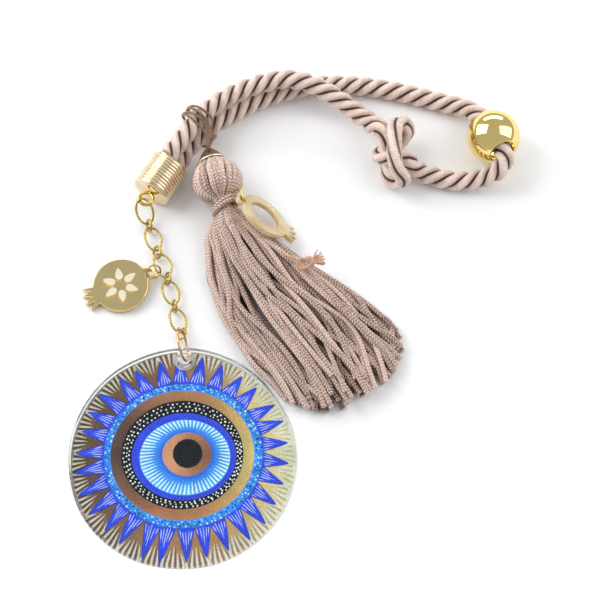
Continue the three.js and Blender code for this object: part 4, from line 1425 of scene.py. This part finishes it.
def strand_route(share_across, level, rng, crossing):
    """One strand from the neck to its tip; level 0 lies on the table and 1 on top."""
    end = 1.0 - abs(rng.gauss(0, 0.05))
    phase, bend, sway = rng.uniform(0, TURN), rng.gauss(0, 0.05), rng.uniform(5, 12)
    points = []
    for t in np.linspace(0, end, 15):
        left_x, left_y, right_x, right_y, bulge, top = (np.interp(t, SKIRT[:, 0], c) for c in SKIRT.T[1:])
        wander = bend * math.sin(phase + sway * t) + crossing * math.sin(math.pi * t)
        u = min(1.0, max(0.0, share_across + wander * min(1, 2 * t)))
        crown_share = 1 - (2 * u - 1) ** 2
        flat = np.array([left_x, left_y]) * (1 - u) + np.array([right_x, right_y]) * u
        flat = flat + FAN_OUT * (bulge * crown_share)
        low = STRAND + 0.1 + 4.3 * max(0, 1 - t / 0.1)
        crown = low + (top - STRAND - low) * math.sqrt(max(0.06, 1 - (2 * u - 1) ** 2 * 0.94))
        height = low + (crown - low) * level + 0.75 * math.sin(phase * 2 + 9 * t) * min(1, 3 * t)
        points.append([*clear_of_disc(flat, level), max(height, STRAND + 0.05)])
    return smooth(in_model(points), STITCH_STEP)[rng.randrange(4):]


def tassel_skirt():
    """Braided strands in four layers, each a piece of its own."""
    rng = random.Random(23)
    for layer, count, level in SKIRT_LAYERS:
        form = Form()
        for n in range(count):
            across = (n + 0.5 + rng.uniform(-0.3, 0.3)) / count
            crossing = rng.choice((-1, 1)) * rng.uniform(0.06, 0.18) if rng.random() < 0.3 else 0.0
            line = strand_route(across, level + rng.uniform(-0.06, 0.06), rng, crossing)
            thick = np.full(len(line), STRAND * rng.uniform(0.92, 1.08))
            thick[-3:] *= (1.04, 1.12, 1.1)
            # Each strand's tint is its own random tone, plus painted shade: lower layers are darker than the ones
            # above them.
            form.tube(line, thick, 10, tint=rng.uniform(-0.05, 0.45) + 0.45 * level, relief=braided_relief)
        replaced = ("tassel_skirt",) if layer == "top" else ()
        make(f"skirt_{layer}_strands", form, BRAIDED, "tassel", replaces=replaced)


def twisted_pair(form, line, radius, pitch, closed=False, tint=0.5):
    """Two thin threads twisted round each other along a line."""
    side, up = carried_frame(line, closed)
    turns = max(1, round(distances(line)[-1] / pitch))
    steps = len(line) if closed else len(line) - 1
    for strand in range(2):
        turn = (TURN * turns * np.arange(len(line)) / steps + math.pi * strand)[:, None]
        offset = np.cos(turn) * side + np.sin(turn) * up
        form.tube(line + offset * radius * 0.5, radius * 0.56, 8, closed, tint)


# The thin cord's way round both rope runs, from the cone's tip.
HANG_LOOP = [
    [5.6, 120.5, 9.8], [6.7, 123.8, 8.2], [7.5, 127.3, 4.8], [6.6, 128.2, 1.9], [3.9, 130.1, 0.55],
    [1.0, 132.3, 1.7], [-0.4, 133.3, 5.0], [-2.7, 135.2, 11.7], [0.8, 132.5, 16.7], [5.4, 129.1, 13.3],
    [5.9, 124.6, 11.5],
]
ROPE_HEADING = np.array([0.55, 0.83, 0.0])
WRAP_SHIFTS = (-2.7, -1.5, -0.2, 0.9, 2.0)
WRAP_LOWEST = 0.6


def hanging_wraps():
    """Turns of thin cord round both rope runs, gathered at the cone's tip."""
    form = Form()
    apex = np.array(HANG_LOOP[0])
    for wrap, shift in enumerate(WRAP_SHIFTS):
        points = []
        for n, point in enumerate(HANG_LOOP):
            point = np.array(point)
            away = min(1.0, np.linalg.norm(point - apex) / 9)
            wander = shift + 0.7 * math.sin(1.3 * n + 2.1 * wrap)
            points.append(point + ROPE_HEADING * wander * away + UP * 0.25 * (wrap % 2) * away)
        line = smooth(in_model(points), 0.35, closed=True)
        line[:, 2] = np.maximum(line[:, 2], WRAP_LOWEST)
        twisted_pair(form, line, 0.5, 1.6, closed=True, tint=0.3 + 0.1 * wrap)
    make("hanging_wraps", form, BROWN_CORD, "cap_and_rope", replaces=("tassel_hang_loop",))


KNOT_AT = np.array([43.0, 71.6, 11.6])
KNOT_TAIL = [
    [33.4, 76.6, 11.9], [35.0, 74.2, 13.0], [37.2, 73.4, 12.9], [39.6, 72.6, 12.4], [41.4, 71.9, 12.0],
]


def knot_turns(form):
    """Four flat turns of thread, fanned a little."""
    for n in range(4):
        tilt = 0.5 * (n - 1.5)
        lean = tilt * 0.4
        points = []
        for angle in np.linspace(0, TURN, 10, endpoint=False):
            x, y = 2.9 * math.cos(angle), (1.2 + 0.15 * n) * math.sin(angle)
            height = 0.9 * math.sin(angle + tilt) + 0.4
            points.append(KNOT_AT + [x * math.cos(lean) - 1.2, y + x * math.sin(lean), height])
        form.tube(smooth(in_model(points), 0.3, closed=True), 0.55, 10, closed=True, tint=0.5)


def frayed_end(form, rng):
    """A tuft of single fibres that fans out of the knot."""
    for n in range(54):
        heading = math.radians(rng.uniform(-14, 66))
        reach = rng.uniform(2.8, 5.2)
        start = KNOT_AT + [0.9, 0.2, 0.6]
        way = np.array([math.cos(heading), math.sin(heading), rng.uniform(-0.1, 0.35)])
        curl = np.array([0.3 * math.sin(n), 0.3 * math.cos(n), 0.0])
        points = [start, start + way * reach * 0.5, start + way * reach + curl]
        form.tube(smooth(in_model(points), 0.4), 0.15, 5, tint=0.5)


def thread_knot():
    """A small knot of peach thread on the skirt, with a tail and a frayed end."""
    form = Form()
    knot_turns(form)
    frayed_end(form, random.Random(5))
    twisted_pair(form, smooth(in_model(KNOT_TAIL), 0.3), 0.5, 1.4)
    make("peach_knot", form, PEACH, "tassel", replaces=("tie_knot",))


tassel_cone()
tassel_head()
neck_wraps()
tassel_skirt()
hanging_wraps()
thread_knot()
